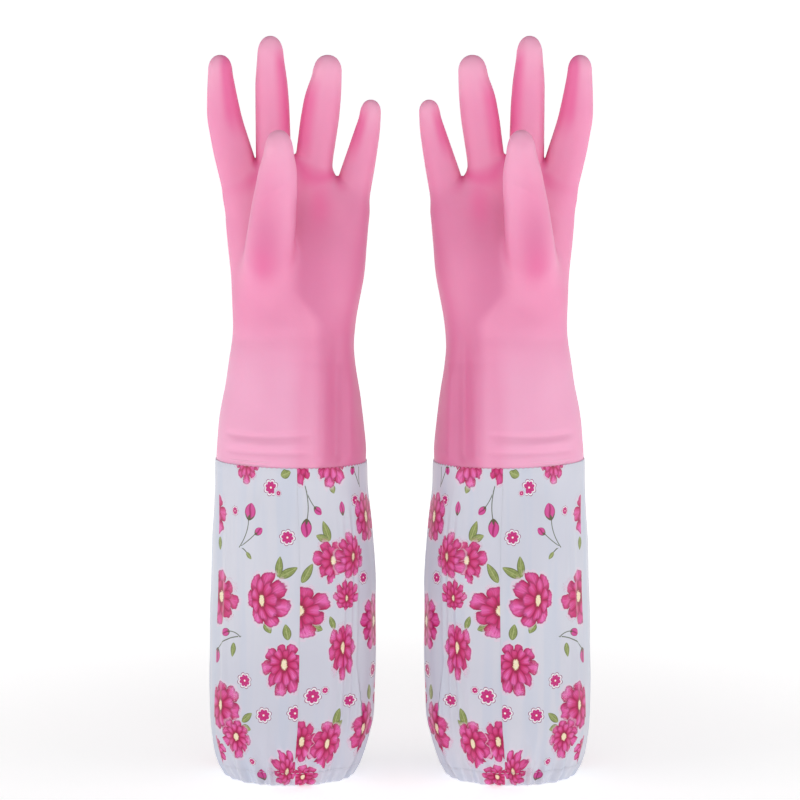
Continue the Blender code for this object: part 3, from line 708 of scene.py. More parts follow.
# panel, round, up, radius, seed
DAISIES = [
    ("front", -13.2, 198.4, 4.3, 0.2), ("front", -42.3, 186.4, 2.7, 0.4), ("front", -2.5, 166.3, 4.4, 0.6),
    ("front", -32.7, 72.0, 4.4, 0.8), ("front", -17.4, 47.4, 4.4, 0.3), ("front", 3.6, 48.8, 4.4, 0.5),
    ("front", -7.8, 195.0, 1.7, 0.7), ("front", -26.5, 16.0, 2.3, 0.9), ("wrap", 50.7, 192.4, 3.4, 0.1),
    ("wrap", 15.0, 60.0, 4.9, 0.35), ("wrap", 23.3, 63.5, 2.2, 0.55), ("wrap", 42.0, 54.8, 3.8, 0.75),
    ("wrap", 68.0, 75.0, 4.4, 0.95), ("wrap", 55.0, 140.0, 3.6, 0.45),
]
# panel, round, up, length, width, way it points in degrees, seed
BUDS = [
    ("front", -30.0, 179.5, 12.0, 8.4, 77, 0.2), ("front", -25.4, 169.4, 7.0, 5.0, 39, 0.4),
    ("front", -45.3, 105.0, 7.4, 5.4, -165, 0.6), ("front", -58.5, 92.0, 11.0, 7.4, -100, 0.8),
    ("front", -20.5, 1.0, 8.5, 7.0, 95, 0.3), ("wrap", 11.5, 178.5, 12.6, 7.8, -96, 0.5),
    ("wrap", 17.4, 186.0, 7.4, 5.0, -47, 0.7), ("wrap", 50.5, 215.0, 6.0, 4.4, -100, 0.9),
    ("wrap", 38.0, 179.0, 9.6, 4.2, 90, 0.1),
]
# panel, start, middle and end of the stem's curve, half width
STEMS = [
    ("front", (-30.0, 181.0), (-30.0, 172.0), (-37.8, 162.6), 0.26),
    ("front", (-37.8, 162.8), (-32.5, 164.5), (-25.0, 169.8), 0.24),
    ("front", (-38.0, 163.0), (-34.5, 161.5), (-31.8, 158.2), 0.30),
    ("front", (-36.8, 102.0), (-40.0, 106.2), (-45.8, 105.0), 0.24),
    ("front", (-36.6, 102.2), (-49.0, 101.0), (-58.6, 91.0), 0.28),
    ("wrap", (11.2, 199.5), (14.6, 188.0), (11.6, 177.5), 0.26),
    ("wrap", (11.4, 198.5), (13.6, 191.0), (17.8, 185.6), 0.24),
    ("wrap", (50.5, 214.0), (54.0, 208.0), (58.0, 200.5), 0.26),
    ("wrap", (57.5, 214.0), (56.5, 208.0), (58.0, 200.5), 0.22),
]


def raised(across, up):
    """Lays a motif over the middle of the front up to 5 mm above its listed height, fading out to either side."""
    return up + (3.5 + 0.006 * up) * fade(across, -42.0, -12.0) * (1.0 - fade(across, 42.0, 52.0))


def both_rounds(panel, up):
    """The print repeats: each motif again half way round the arm and some way up, on the wide panel."""
    again = (up + 83.0) % SLEEVE_REPEAT
    return [(panel, 0.0, 0.0), ("wrap", HALF_ROUND, again - up)]


def laid_print(across, up, panels, faces):
    """For every corner of the faces: its place within the motif it falls in, by layer, or far outside."""
    corner_across, corner_up = across[faces], up[faces]
    nowhere = np.tile(np.array([9.0, 9.0, 0.0]), (*faces.shape, 1))
    names = ("bloom_near", "bloom_far", "leaf_near", "leaf_far", "daisy", "bud", "stem")
    layers = {key: nowhere.copy() for key in names}

    def lay(key, panel, u, v, third, inside):
        chosen = inside.any(axis=1) & (panels == panel)
        third = np.broadcast_to(third, u.shape)
        layers[key][chosen] = np.stack([u, v, third], axis=-1)[chosen]

    def turned(s, t, way):
        angle = np.radians(way)
        du, dv = corner_across - s, corner_up - t
        return du * np.cos(angle) + dv * np.sin(angle), dv * np.cos(angle) - du * np.sin(angle)

    for panel, layer, s, t, wide, tall, heart_s, heart_t, seed in BLOOMS:
        t = raised(s, t)
        for where, ds, dt in both_rounds(panel, t):
            u, v = (corner_across - s - ds) / wide, (corner_up - t - dt) / tall
            room = np.clip(1.0 - u * u - v * v, 0.0, 1.0)
            lay(f"bloom_{layer}", where, u - heart_s * room, v - heart_t * room, seed, u * u + v * v < 1.60)
    for number, (panel, s, t, length, width, way, seed) in enumerate(LEAVES):
        layer = "leaf_far" if number % 2 else "leaf_near"
        t = raised(s, t)
        for where, ds, dt in both_rounds(panel, t):
            u, v = turned(s + ds, t + dt, way)
            lay(layer, where, u / length, 2 * v / width, seed, (u > -0.6) & (u < length + 0.6) & (abs(v) < width))
    for panel, s, t, radius, seed in DAISIES:
        t, radius = raised(s, t), 0.93 * radius
        for where, ds, dt in both_rounds(panel, t):
            u, v = turned(s + ds, t + dt, seed * 360)
            lay("daisy", where, u / radius, v / radius, seed, u * u + v * v < 2.4 * radius * radius)
    for panel, s, t, length, width, way, seed in BUDS:
        t = raised(s, t)
        for where, ds, dt in both_rounds(panel, t):
            u, v = turned(s + ds, t + dt, way)
            lay("bud", where, u / length, 2 * v / width, seed, (u > -0.8) & (u < length + 0.8) & (abs(v) < width))
    closest = np.full(len(faces), np.inf)
    for panel, *points, half_width in STEMS:
        start, middle, end = (np.array([s, raised(s, t)]) for s, t in points)
        for where, ds, dt in both_rounds(panel, start[1]):
            share = np.linspace(0.0, 1.0, 65)[:, None]
            curve = (1 - share) ** 2 * start + 2 * share * (1 - share) * middle + share**2 * end
            curve = curve + np.array([ds, dt])
            along = np.gradient(curve, axis=0)
            along /= np.linalg.norm(along, axis=1, keepdims=True)
            low, high = curve.min(0) - 3.0, curve.max(0) + 3.0
            near = (corner_across > low[0]) & (corner_across < high[0])
            near &= (corner_up > low[1]) & (corner_up < high[1])
            rows = np.flatnonzero(near.any(axis=1) & (panels == where))
            if not len(rows):
                continue
            away = np.stack([corner_across[rows], corner_up[rows]], axis=-1)[..., None, :] - curve
            nearest = (away**2).sum(-1).argmin(-1)
            offset = np.take_along_axis(away, nearest[..., None, None], axis=2)[..., 0, :]
            side = offset[..., 0] * along[nearest][..., 1] - offset[..., 1] * along[nearest][..., 0]
            beyond = np.abs((offset * along[nearest]).sum(-1))
            away_from = np.hypot(side, beyond).mean(axis=1)
            close = (np.abs(side) < 1.6).any(axis=1) & (beyond < 1.6).all(axis=1) & (away_from < closest[rows])
            values = np.stack([side, beyond, np.full(side.shape, half_width)], axis=-1)
            layers["stem"][rows[close]] = values[close]
            closest[rows[close]] = away_from[close]
    return {key: value.reshape(-1, 3) for key, value in layers.items()}


# printed film: pale, softly glossy and a little cloudy, with the inks a touch smoother
film = Shader("Printed film")


def length_of(shader, x, y):
    return shader.sum("SQRT", shader.sum("ADD", shader.sum("MULTIPLY", x, x), shader.sum("MULTIPLY", y, y)))


def coordinates(shader, name):
    return shader.node("ShaderNodeSeparateXYZ", shader.attribute(name, "Vector")).outputs


def grain_at(shader, x, y, z, scale):
    where = shader.node("ShaderNodeCombineXYZ", x, y, z).outputs[0]
    return shader.noise(where, scale, 2.0)


def petal_ring(shader, x, y, seed, count, reach, turn, notch):
    """A ring of petals: (how far out within the petal, 0 on its middle line to 1 at its side, its own chance)."""
    angle = shader.sum("DIVIDE", shader.sum("ARCTAN2", y, x), 2 * np.pi)
    phase = shader.sum("ADD", shader.sum("MULTIPLY", angle, count), shader.sum("MULTIPLY_ADD", seed, 7.0, turn))
    cell = shader.sum("FLOOR", phase)
    side = shader.sum("ABSOLUTE", shader.sum("MULTIPLY_ADD", shader.sum("SUBTRACT", phase, cell), 2.0, -1.0))
    own = shader.sum("FLOORED_MODULO", cell, count)
    white = shader.nodes.new("ShaderNodeTexWhiteNoise")
    white.noise_dimensions = "2D"
    own_place = shader.node("ShaderNodeCombineXYZ", own, shader.sum("MULTIPLY", seed, 97.0), 0.0)
    shader.put(white.inputs["Vector"], own_place.outputs[0])
    chance = white.outputs["Value"]
    length = shader.sum("MULTIPLY_ADD", chance, 0.26 * reach, 0.82 * reach)
    drop = shader.sum("MULTIPLY", shader.sum("POWER", side, 3.4), notch * reach)
    wobble = shader.sum("MULTIPLY", shader.sum("SUBTRACT", grain_at(shader, x, y, seed, 4.0), 0.5), 0.30)
    edge = shader.sum("ADD", shader.sum("SUBTRACT", length, drop), wobble)
    return shader.sum("DIVIDE", length_of(shader, x, y), edge), side, chance


def bloom_ink(shader, name):
    """A bloom: two rings of rounded petals, mauve at the tips and crimson at the sides, round a cream heart."""
    x, y, seed = coordinates(shader, name)
    count = shader.sum("ADD", 7.0, shader.sum("FLOOR", shader.sum("MULTIPLY", seed, 2.99)))
    round_heart = shader.sum("MULTIPLY", shader.sum("ARCTAN2", y, x), 5.0)
    outward_place = shader.sum("MULTIPLY", length_of(shader, x, y), 1.2)
    colour, mask, halo = None, None, None
    for reach, turn, notch in ((1.01, 0.0, 0.22), (0.70, 0.5, 0.20)):
        out, side, chance = petal_ring(shader, x, y, seed, count, reach, turn, notch)
        streaks = grain_at(shader, round_heart, outward_place, seed, 3.2)
        pale = shader.sum("MULTIPLY", shader.ramp(out, 0.30, 0.80), shader.ramp(side, 0.95, 0.10))
        pale = shader.sum("MULTIPLY", pale, shader.sum("MULTIPLY_ADD", chance, 0.85, 0.20))
        pale = shader.sum("MULTIPLY", pale, shader.ramp(streaks, 0.25, 0.65, 0.45, 1.15))
        petal = shader.mix(pale, (0.560, 0.002, 0.115, 1), (0.820, 0.150, 0.480, 1))
        sides = shader.ramp(side, 0.70, 1.0, 0.0, 0.75)
        deep = shader.sum("MAXIMUM", sides, shader.ramp(out, 0.42, 0.05, 0.0, 0.8))
        petal = shader.mix(shader.sum("MULTIPLY", deep, 0.95), petal, (0.270, 0.001, 0.050, 1))
        petal = shader.mix(shader.ramp(out, 0.90, 0.99, 0.0, 0.55), petal, (0.270, 0.002, 0.080, 1))
        inside = shader.ramp(out, 1.02, 0.985)
        if colour is None:
            colour, mask, halo = petal, inside, shader.ramp(out, 1.13, 1.06)
        else:
            shade = shader.sum("MULTIPLY", shader.ramp(out, 1.22, 1.0), 0.55)
            colour = shader.mix(inside, shader.mix(shade, colour, (0.280, 0.002, 0.050, 1)), petal)
    speckle = grain_at(shader, x, y, seed, 22.0)
    ragged = length_of(shader, x, shader.sum("MULTIPLY", y, 0.70))
    ragged = shader.sum("ADD", ragged, shader.sum("MULTIPLY_ADD", speckle, 0.16, -0.08))
    colour = shader.mix(shader.ramp(ragged, 0.30, 0.16, 0.0, 0.75), colour, (0.240, 0.004, 0.030, 1))
    heart = shader.mix(shader.ramp(speckle, 0.40, 0.62), (0.900, 0.700, 0.420, 1), (0.950, 0.860, 0.660, 1))
    colour = shader.mix(shader.ramp(ragged, 0.150, 0.125), colour, heart)
    return halo, mask, colour


def leaf_ink(shader, name):
    """A leaf: pointed at both ends, darker along its edge, with a pale rib and slanting veins."""
    along, across, seed = coordinates(shader, name)
    inner = shader.sum("MULTIPLY", shader.ramp(along, 0.0, 0.02), shader.ramp(along, 1.0, 0.98))
    half_turn = shader.sum("MULTIPLY", shader.sum("POWER", shader.sum("MAXIMUM", along, 0.0), 0.85), np.pi)
    width = shader.sum("POWER", shader.sum("ABSOLUTE", shader.sum("SINE", half_turn)), 0.75)
    off = shader.sum("DIVIDE", shader.sum("ABSOLUTE", across), shader.sum("MAXIMUM", width, 0.02))
    slanted = shader.sum("SUBTRACT", along, shader.sum("MULTIPLY", off, 0.12))
    veins = shader.sum("SINE", shader.sum("MULTIPLY", slanted, 44.0))
    tint = grain_at(shader, along, across, seed, 4.0)
    green = shader.mix(shader.ramp(tint, 0.3, 0.7), (0.200, 0.255, 0.060, 1), (0.330, 0.385, 0.130, 1))
    green = shader.mix(shader.ramp(veins, 0.55, 1.0, 0.0, 0.35), green, (0.160, 0.210, 0.050, 1))
    green = shader.mix(shader.ramp(off, 0.12, 0.03, 0.0, 0.5), green, (0.600, 0.640, 0.300, 1))
    green = shader.mix(shader.ramp(off, 0.72, 0.92, 0.0, 0.85), green, (0.085, 0.105, 0.035, 1))
    return shader.sum("MULTIPLY", inner, shader.ramp(off, 1.03, 0.97)), green


def daisy_ink(shader):
    """A small daisy: eight short magenta petals, a white eye, and a white border with a thin scalloped line."""
    x, y, _ = coordinates(shader, "daisy")
    radius = length_of(shader, x, y)
    scallop = shader.sum("ABSOLUTE", shader.sum("COSINE", shader.sum("MULTIPLY", shader.sum("ARCTAN2", y, x), 4.0)))
    edge = shader.sum("MULTIPLY_ADD", shader.sum("POWER", scallop, 0.55), 0.30, 0.70)
    out = shader.sum("DIVIDE", radius, edge)
    petal = shader.mix(shader.ramp(out, 0.2, 0.9), (0.620, 0.010, 0.170, 1), (0.560, 0.020, 0.220, 1))
    petal = shader.mix(shader.ramp(scallop, 0.45, 0.0, 0.0, 0.8), petal, (0.330, 0.004, 0.090, 1))
    colour = shader.mix(shader.ramp(radius, 0.20, 0.14), petal, (0.930, 0.850, 0.860, 1))
    ring = shader.mix(shader.ramp(out, 1.25, 1.31), (0.860, 0.830, 0.870, 1), (0.300, 0.080, 0.190, 1))
    colour = shader.mix(shader.ramp(out, 1.00, 1.04), colour, ring)
    return shader.ramp(out, 1.43, 1.38), colour


def bud_ink(shader):
    """A closed bud: an egg of folded petals on a dark green cup."""
    along, across, _ = coordinates(shader, "bud")
    inner = shader.sum("MULTIPLY", shader.ramp(along, -0.02, 0.0), shader.ramp(along, 1.02, 1.0))
    half_turn = shader.sum("MULTIPLY", shader.sum("MINIMUM", shader.sum("MAXIMUM", along, 0.0), 1.0), np.pi)
    width = shader.sum("POWER", shader.sum("MAXIMUM", shader.sum("SINE", half_turn), 0.0), 0.62)
    off = shader.sum("DIVIDE", across, shader.sum("MAXIMUM", width, 0.02))
    away = shader.sum("ABSOLUTE", off)
    from_fold = shader.sum("SUBTRACT", off, shader.sum("MULTIPLY_ADD", along, 0.9, -0.45))
    fold = shader.ramp(shader.sum("ABSOLUTE", from_fold), 0.0, 0.35)
    petal = shader.mix(fold, (0.330, 0.004, 0.100, 1), (0.640, 0.060, 0.300, 1))
    petal = shader.mix(shader.ramp(away, 0.70, 0.98, 0.0, 0.7), petal, (0.280, 0.004, 0.080, 1))
    cup_edge = shader.sum("MULTIPLY_ADD", shader.sum("COSINE", shader.sum("MULTIPLY", off, 7.0)), 0.09, 0.24)
    cup = shader.ramp(shader.sum("SUBTRACT", along, cup_edge), 0.02, -0.02)
    colour = shader.mix(cup, petal, (0.100, 0.090, 0.040, 1))
    return shader.sum("MULTIPLY", inner, shader.ramp(away, 1.04, 0.97)), colour


place = film.place()
cloud = film.noise(place, 9.0, 2.0)
stretched = film.node("ShaderNodeVectorMath", place, (60.0, 60.0, 3.5), operation="MULTIPLY").outputs[0]
upright = film.noise(stretched, 1.6, 2.0)
ink = film.mix(film.ramp(cloud, 0.35, 0.65), (0.600, 0.612, 0.705, 1), (0.655, 0.662, 0.742, 1))
ink = film.mix(film.ramp(upright, 0.46, 0.66, 0.0, 0.42), ink, (0.530, 0.590, 0.720, 1))
distance, beyond, half_width = coordinates(film, "stem")
line = film.sum("SUBTRACT", film.sum("ABSOLUTE", distance), film.sum("MULTIPLY", half_width, 1.3))
stem_mask = film.sum("MULTIPLY", film.ramp(line, 0.07, -0.07), film.ramp(beyond, 0.9, 0.5))
ink = film.mix(stem_mask, ink, (0.120, 0.140, 0.100, 1))
printed = stem_mask
for mask, colour in (leaf_ink(film, "leaf_far"), leaf_ink(film, "leaf_near"), daisy_ink(film), bud_ink(film)):
    ink = film.mix(mask, ink, colour)
    printed = film.sum("MAXIMUM", printed, mask)
for layer in ("bloom_far", "bloom_near"):
    halo, mask, colour = bloom_ink(film, layer)
    ink = film.mix(film.sum("MULTIPLY", halo, 0.45), ink, (0.840, 0.600, 0.740, 1))
    ink = film.mix(mask, ink, colour)
    printed = film.sum("MAXIMUM", printed, mask)
crinkle = film.bump(film.noise(place, 70.0, 2.0, 0.55), 0.0012, 0.35)
PRINTED_FILM = film.finish(
    Base_Color=ink,
    Roughness=film.ramp(printed, 0.0, 1.0, 0.36, 0.30),
    Normal=film.bump(film.noise(place, 700.0, 2.0), 0.00004, 0.4, film.bump(printed, 0.00005, 0.5, crinkle)),
)
film.surface.inputs["Specular IOR Level"].default_value = 0.36
film.surface.inputs["Subsurface Weight"].default_value = 0.10
film.surface.inputs["Subsurface Radius"].default_value = (1.0, 1.0, 1.0)
film.surface.inputs["Subsurface Scale"].default_value = 0.002
film.surface.inputs["Coat Weight"].default_value = 0.08
film.surface.inputs["Coat Roughness"].default_value = 0.22

PANELS = {
    "front": (SIDE_SEAM + SEAM_GAP, FRONT_SEAM - SEAM_GAP, 92),
    "wrap": (FRONT_SEAM + SEAM_GAP, WRAP_END - SEAM_GAP, 330),
}
share = np.linspace(0.0, 1.0, 112)
SLEEVE_UP = SLEEVE_FOOT + (LAP_TOP_Z - SLEEVE_FOOT) * (0.62 * share + 0.38 * share**2)
for panel, (start, end, columns) in PANELS.items():
    turns = np.linspace(start, end, columns)
    turn, up = np.meshgrid(turns, SLEEVE_UP)
    # the upper edge is pinked into small teeth
    teeth = np.abs(((np.degrees(turn) / 3.75) % 1.0) - 0.5) * 2.0 - 0.5
    tall = 0.0007 + 0.0007 * fade(np.degrees(turn), 22.0, 50.0) * (1.0 - fade(np.degrees(turn), 90.0, 120.0))
    up_edge = up + teeth * tall * fade(up, 0.2100, 0.2155)
    # it stands a little higher on the thumb side, and its last few millimetres lean in to the rubber
    up_edge = up_edge + (0.0010 - 0.0009 * np.sin(turn)) * fade(up, 0.1900, 0.2155)
    surface = on_sleeve(turn, up_edge, 0.0004 * fade(up, 0.2125, 0.2150))
    points, normals = surface.reshape(-1, 3), grid_normals(surface).reshape(-1, 3)
    faces = grid_faces(len(SLEEVE_UP), columns)
    both, every, corner_normals, _ = shell_of(points, normals, faces, FILM)
    across = np.interp(np.tile(turn.reshape(-1), 2), ARM_TURNS, ARM_LENGTH)
    heights = np.tile(up.reshape(-1), 2) * 1000.0
    layers = laid_print(across, heights, np.full(len(every), panel), every)
    for side in ("left", "right"):
        piece = mesh_piece(
            f"{side}_sleeve_{panel}_film", both, every, PRINTED_FILM, side, corner_normals, None, layers
        )
        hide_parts(f"{side}_sleeve_{panel}_panel")
        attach(piece, f"{side}_glove")

# ---------------------------------------------------------------------------------------------
# The welded seams: a narrow strip of clear film behind each join of the panels, which shows in
# the join as a thin line.
seam = Shader("Seam film")
place = seam.place()
ribs = seam.noise(place, 1500.0, 1.0)
SEAM_FILM = seam.finish(
    Base_Color=seam.mix(
        seam.ramp(seam.noise(place, 60.0), 0.4, 0.6), (0.700, 0.710, 0.790, 1), (0.800, 0.810, 0.870, 1)
    ),
    Roughness=seam.ramp(ribs, 0.3, 0.7, 0.30, 0.42),
    Normal=seam.bump(ribs, 0.00005, 0.6),
)
STRIP_WIDTH = 0.0050
for name, middle in (("front", FRONT_SEAM), ("side", SIDE_SEAM)):
    half = STRIP_WIDTH / 2 / 0.0520
    turn, up = np.meshgrid(np.linspace(middle - half, middle + half, 7), SLEEVE_UP[2:-8])
    surface = on_sleeve(turn, up, FILM + 0.00015)
    faces = grid_faces(*turn.shape)
    points, normals = surface.reshape(-1, 3), grid_normals(surface).reshape(-1, 3)
    both, every, corner_normals, _ = shell_of(points, normals, faces, 0.0003)
    for side in ("left", "right"):
        piece = mesh_piece(f"{side}_{name}_seam_weld", both, every, SEAM_FILM, side, corner_normals)
        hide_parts(f"{side}_{name}_seam_strip")
        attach(piece, f"{side}_glove")

# ---------------------------------------------------------------------------------------------
# The band of clear glue that holds the sleeve's upper edge to the rubber. It fills the lap.
glue = Shader("Clear glue")
place = glue.place()
GLUE = glue.finish(
    Base_Color=glue.mix(
        glue.ramp(glue.noise(place, 120.0), 0.4, 0.65), (0.780, 0.560, 0.560, 1), (0.820, 0.660, 0.640, 1)
    ),
    Roughness=glue.ramp(glue.noise(place, 300.0), 0.3, 0.7, 0.22, 0.40),
    Normal=glue.bump(glue.noise(place, 260.0), 0.0002, 0.5),
)
turn, up = np.meshgrid(np.radians(np.arange(-180.0, 180.0, 3.0)), np.linspace(0.2042, 0.2128, 5))
surface = on_sleeve(turn, up, FILM + 0.00003)
faces = grid_faces(*turn.shape, closed=True)
wrapped = np.concatenate([surface[:, -1:], surface, surface[:, :1]], axis=1)
normals = grid_normals(wrapped)[:, 1:-1].reshape(-1, 3)
both, every, corner_normals, _ = shell_of(surface.reshape(-1, 3), normals, faces, 0.00035)
for side in ("left", "right"):
    piece = mesh_piece(f"{side}_glue_band", both, every, GLUE, side, corner_normals)
    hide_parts(f"{side}_adhesive_band")
    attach(piece, f"{side}_glove")

# ---------------------------------------------------------------------------------------------
# The hem: the film turned up inside to make a channel, the braided elastic that runs in it and
# draws it into gathers, and the row of running stitches that closes it.
HEM_DEPTH = 0.0046
HEM_TOP = 0.0116


def round_ring(section, wall_name, material, replaced, print_it=False):
    """A closed section (inset and height of each point) carried round the hem, its ripples with it."""
    section = np.array(section)
    turns = np.linspace(-np.pi, np.pi, 480, endpoint=False) + SIDE_SEAM + np.pi
    inset, up = section[:, 0], section[:, 1]
    turn = np.broadcast_to(turns, (len(section), len(turns)))
    points = on_sleeve(turn, np.broadcast_to(up[:, None], turn.shape), np.broadcast_to(inset[:, None], turn.shape))
    faces = grid_faces(len(section) + 1, len(turns), closed=True) % (len(section) * len(turns))
    layers = None
    if print_it:
        across = np.interp(turn.reshape(-1), ARM_TURNS, ARM_LENGTH)
        middle = across[faces].mean(axis=1)
        last_column = np.ptp(across[faces], axis=1) > 50.0
        seam_place = ARM_LENGTH[np.searchsorted(ARM_TURNS, FRONT_SEAM)]
        panels = np.where((middle < seam_place) & ~last_column, "front", "wrap")
        layers = laid_print(across, np.repeat(up, len(turns)) * 1000.0, panels, faces)
    for side in ("left", "right"):
        piece = mesh_piece(f"{side}_{wall_name}", points.reshape(-1, 3), faces, material, side, None, None, layers)
        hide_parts(f"{side}_{replaced}")
        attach(piece, f"{side}_glove")


# the film's path down the outside, round the fold and up inside, then back along its other face
bend = np.radians(np.linspace(0.0, 180.0, 9))
fold = np.stack([HEM_DEPTH / 2 - HEM_DEPTH / 2 * np.cos(bend), HEM_DEPTH / 2 - HEM_DEPTH / 2 * np.sin(bend)], 1)
inner = (HEM_DEPTH - 2 * FILM) / 2
unfold = np.stack([HEM_DEPTH / 2 + inner * np.cos(bend), HEM_DEPTH / 2 - inner * np.sin(bend)], 1)
straight = np.linspace(HEM_TOP, HEM_DEPTH / 2 + 0.001, 7)
# the channel's outer wall starts just under the sleeve's film and comes out level with it
tuck = 0.0006 * fade(straight, HEM_TOP - 0.0030, HEM_TOP - 0.0010)
channel = list(zip(tuck, straight)) + list(fold) + [(HEM_DEPTH, z) for z in straight[::-1]]
channel += [(HEM_DEPTH - FILM, z) for z in straight] + list(unfold)
channel += list(zip(FILM + tuck, straight))[::-1]
channel = [(inset - 0.0004, up + 0.0006) for inset, up in channel]
round_ring(channel[::-1], "hem_channel", PRINTED_FILM, "hem_casing", print_it=True)

elastic = Shader("Braided elastic")
place = elastic.place()
weave = elastic.node("ShaderNodeTexWave", place, 900.0, 2.0, 1.0, wave_type="BANDS", bands_direction="DIAGONAL")
ELASTIC = elastic.finish(
    Base_Color=elastic.mix(weave.outputs["Fac"], (0.560, 0.560, 0.560, 1), (0.800, 0.800, 0.790, 1)),
    Roughness=elastic.ramp(weave.outputs["Fac"], 0.0, 1.0, 0.75, 0.9),
    Normal=elastic.bump(weave.outputs["Fac"], 0.0003, 0.8),
)
band = [(0.0026, 0.0026), (0.0026, 0.0060), (0.0026, 0.0098), (0.0014, 0.0098), (0.0014, 0.0060), (0.0014, 0.0026)]
round_ring(band[::-1], "elastic_band", ELASTIC, "hem_elastic")

thread = Shader("White thread")
place = thread.place()
twist = thread.node("ShaderNodeTexWave", place, 1400.0, 1.0, 1.0, wave_type="BANDS", bands_direction="DIAGONAL")
THREAD = thread.finish(
    Base_Color=thread.mix(twist.outputs["Fac"], (0.680, 0.690, 0.770, 1), (0.800, 0.800, 0.850, 1)),
    Roughness=thread.ramp(twist.outputs["Fac"], 0.0, 1.0, 0.55, 0.75),
    Normal=thread.bump(twist.outputs["Fac"], 0.0001, 0.7),
)
STITCHES = 92
THREAD_RADIUS = 0.00016
turn_of = np.arange(STITCHES) * 2 * np.pi / STITCHES
reach = np.linspace(-1.0, 1.0, 7)
turn = turn_of[:, None] + reach[None, :] * 0.62 * np.pi / STITCHES
spine = on_sleeve(turn, np.full(turn.shape, HEM_TOP - 0.0012), -0.0004)
outwards = np.stack([np.sin(turn), -np.cos(turn), np.zeros(turn.shape)], axis=-1)
# each stitch dips into the film at both ends
spine = spine + outwards * (0.00012 - 0.00040 * reach**4)[None, :, None]
sides = np.radians(np.arange(0.0, 360.0, 60.0))
thick = THREAD_RADIUS * np.sqrt(np.clip(1.0 - 0.9 * reach**6, 0.0, 1.0))
tube = (
    spine[:, :, None, :]
    + thick[None, :, None, None] * np.cos(sides)[None, None, :, None] * outwards[:, :, None, :]
    + thick[None, :, None, None] * np.sin(sides)[None, None, :, None] * np.array([0.0, 0.0, 1.0])
)
per_stitch = len(reach) * len(sides)
one = grid_faces(len(reach), len(sides), closed=True)
last = (len(reach) - 1) * len(sides)
end_cap = np.array([[0, 1, 2, 3], [0, 3, 4, 5]])
caps = np.concatenate([end_cap[:, ::-1], end_cap + last])
one = np.concatenate([one[:, ::-1], caps[:, ::-1]])
stitch_faces = (one[None] + np.arange(STITCHES)[:, None, None] * per_stitch).reshape(-1, 4)
for side in ("left", "right"):
    piece = mesh_piece(f"{side}_hem_stitches", tube.reshape(-1, 3), stitch_faces, THREAD, side)
    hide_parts(f"{side}_hem_stitching")
    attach(piece, f"{side}_glove")

# ---------------------------------------------------------------------------------------------
# A plain pale floor that runs out to a pale horizon on every side, soft light from large panels, and
# the camera, a little above the middle and far off, so that both gloves stand nearly square on.
floor = Shader("Pale floor")
place = floor.place()
away = floor.node("ShaderNodeVectorMath", place, operation="LENGTH").outputs["Value"]
FLOOR = floor.finish(
    Base_Color=floor.mix(
        floor.ramp(floor.noise(place, 3.0), 0.3, 0.7), (0.930, 0.930, 0.935, 1), (0.950, 0.950, 0.950, 1)
    ),
    Emission_Strength=floor.ramp(away, 0.2, 1.0, 0.50, 0.85),
)
floor.surface.inputs["Roughness"].default_value = 0.9
floor.surface.inputs["Specular IOR Level"].default_value = 0.1
floor.surface.inputs["Emission Color"].default_value = (1.0, 1.0, 1.0, 1.0)
FLOOR_REACH = 70.0
floor_corners = [(x * FLOOR_REACH, y * FLOOR_REACH, 0.0) for x, y in ((-1, -1), (1, -1), (1, 1), (-1, 1))]
floor_mesh = bpy.data.meshes.new("floor")
floor_mesh.from_pydata(floor_corners, [], [(0, 1, 2, 3)])
floor_mesh.materials.append(FLOOR)
floor_sheet = bpy.data.objects.new("floor", floor_mesh)
bpy.context.scene.collection.objects.link(floor_sheet)


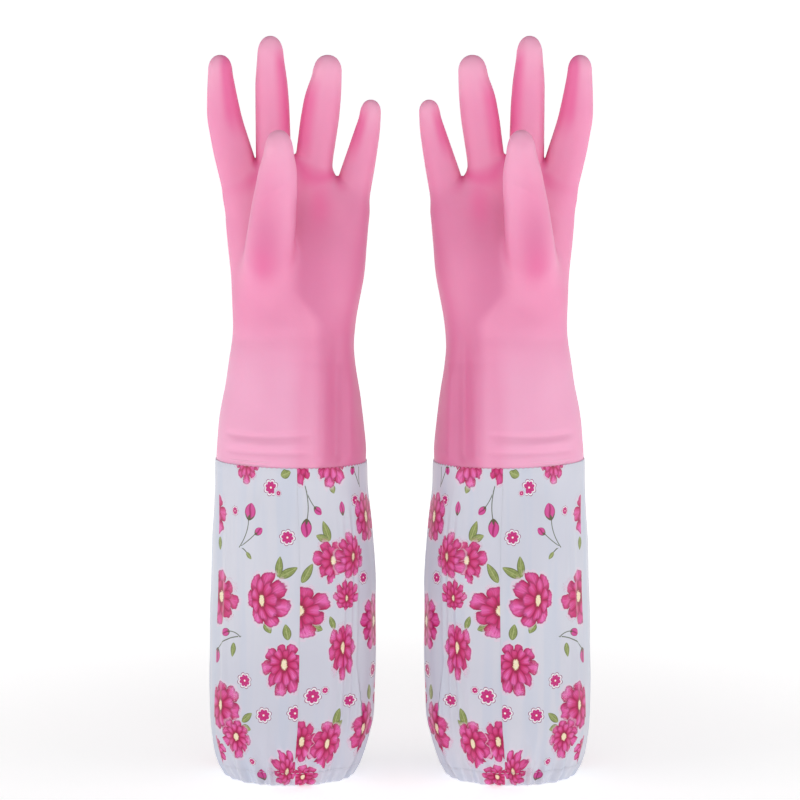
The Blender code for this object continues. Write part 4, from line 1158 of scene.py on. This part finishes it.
def soft_light(name, place, towards, size, power, colour=(1.0, 1.0, 1.0)):
    """A square panel of light at a place, facing a point."""
    lamp = bpy.data.lights.new(name, "AREA")
    lamp.size, lamp.energy, lamp.color = size, power, colour
    obj = bpy.data.objects.new(name, lamp)
    bpy.context.scene.collection.objects.link(obj)
    obj.location = place
    way = bpy.data.objects.new(name, None).location.copy()
    way.x, way.y, way.z = (b - a for a, b in zip(place, towards))
    obj.rotation_euler = way.to_track_quat("-Z", "Y").to_euler()
    return obj


MIDDLE = (0.0, 0.0, 0.26)
soft_light("thumb_side_left", (-2.1, -0.9, 0.75), MIDDLE, 1.8, 12.5)
soft_light("thumb_side_right", (2.1, -0.9, 0.75), MIDDLE, 1.8, 12.5)
soft_light("front", (0.0, -2.4, 1.5), MIDDLE, 1.8, 6.5)
soft_light("top", (0.0, -0.5, 2.2), MIDDLE, 1.6, 7.5)
world = bpy.data.worlds.new("pale room")
bpy.context.scene.world = world
world.use_nodes = True
# bright at the horizon, dim overhead
sky = world.node_tree.nodes
direction = sky.new("ShaderNodeTexCoord").outputs["Generated"]
split = sky.new("ShaderNodeSeparateXYZ")
climb = sky.new("ShaderNodeMapRange")
world.node_tree.links.new(direction, split.inputs[0])
world.node_tree.links.new(split.outputs["Z"], climb.inputs["Value"])
climb.inputs["From Min"].default_value, climb.inputs["From Max"].default_value = 0.12, 0.30
climb.inputs["To Min"].default_value, climb.inputs["To Max"].default_value = 1.05, 0.18
world.node_tree.links.new(climb.outputs["Result"], sky["Background"].inputs["Strength"])
sky["Background"].inputs["Color"].default_value = (1.0, 1.0, 1.0, 1.0)
bpy.context.scene.view_settings.view_transform = "Standard"

CAMERA_DISTANCE = 2.3
CAMERA_RISE = np.radians(7.5)
VIEW_CENTRE_Z = 0.2575
FRAME_SIZE = 0.5344
camera_data = bpy.data.cameras.new("camera")
camera_data.sensor_width = 36.0
camera_data.lens = 36.0 * CAMERA_DISTANCE / FRAME_SIZE
camera_data.clip_start, camera_data.clip_end = 0.05, 200.0
camera = bpy.data.objects.new("camera", camera_data)
bpy.context.scene.collection.objects.link(camera)
back, up = CAMERA_DISTANCE * np.cos(CAMERA_RISE), CAMERA_DISTANCE * np.sin(CAMERA_RISE)
camera.location = (0.0, -back, VIEW_CENTRE_Z + up)
camera.rotation_euler = (np.pi / 2 - CAMERA_RISE, 0.0, 0.0)
bpy.context.scene.camera = camera
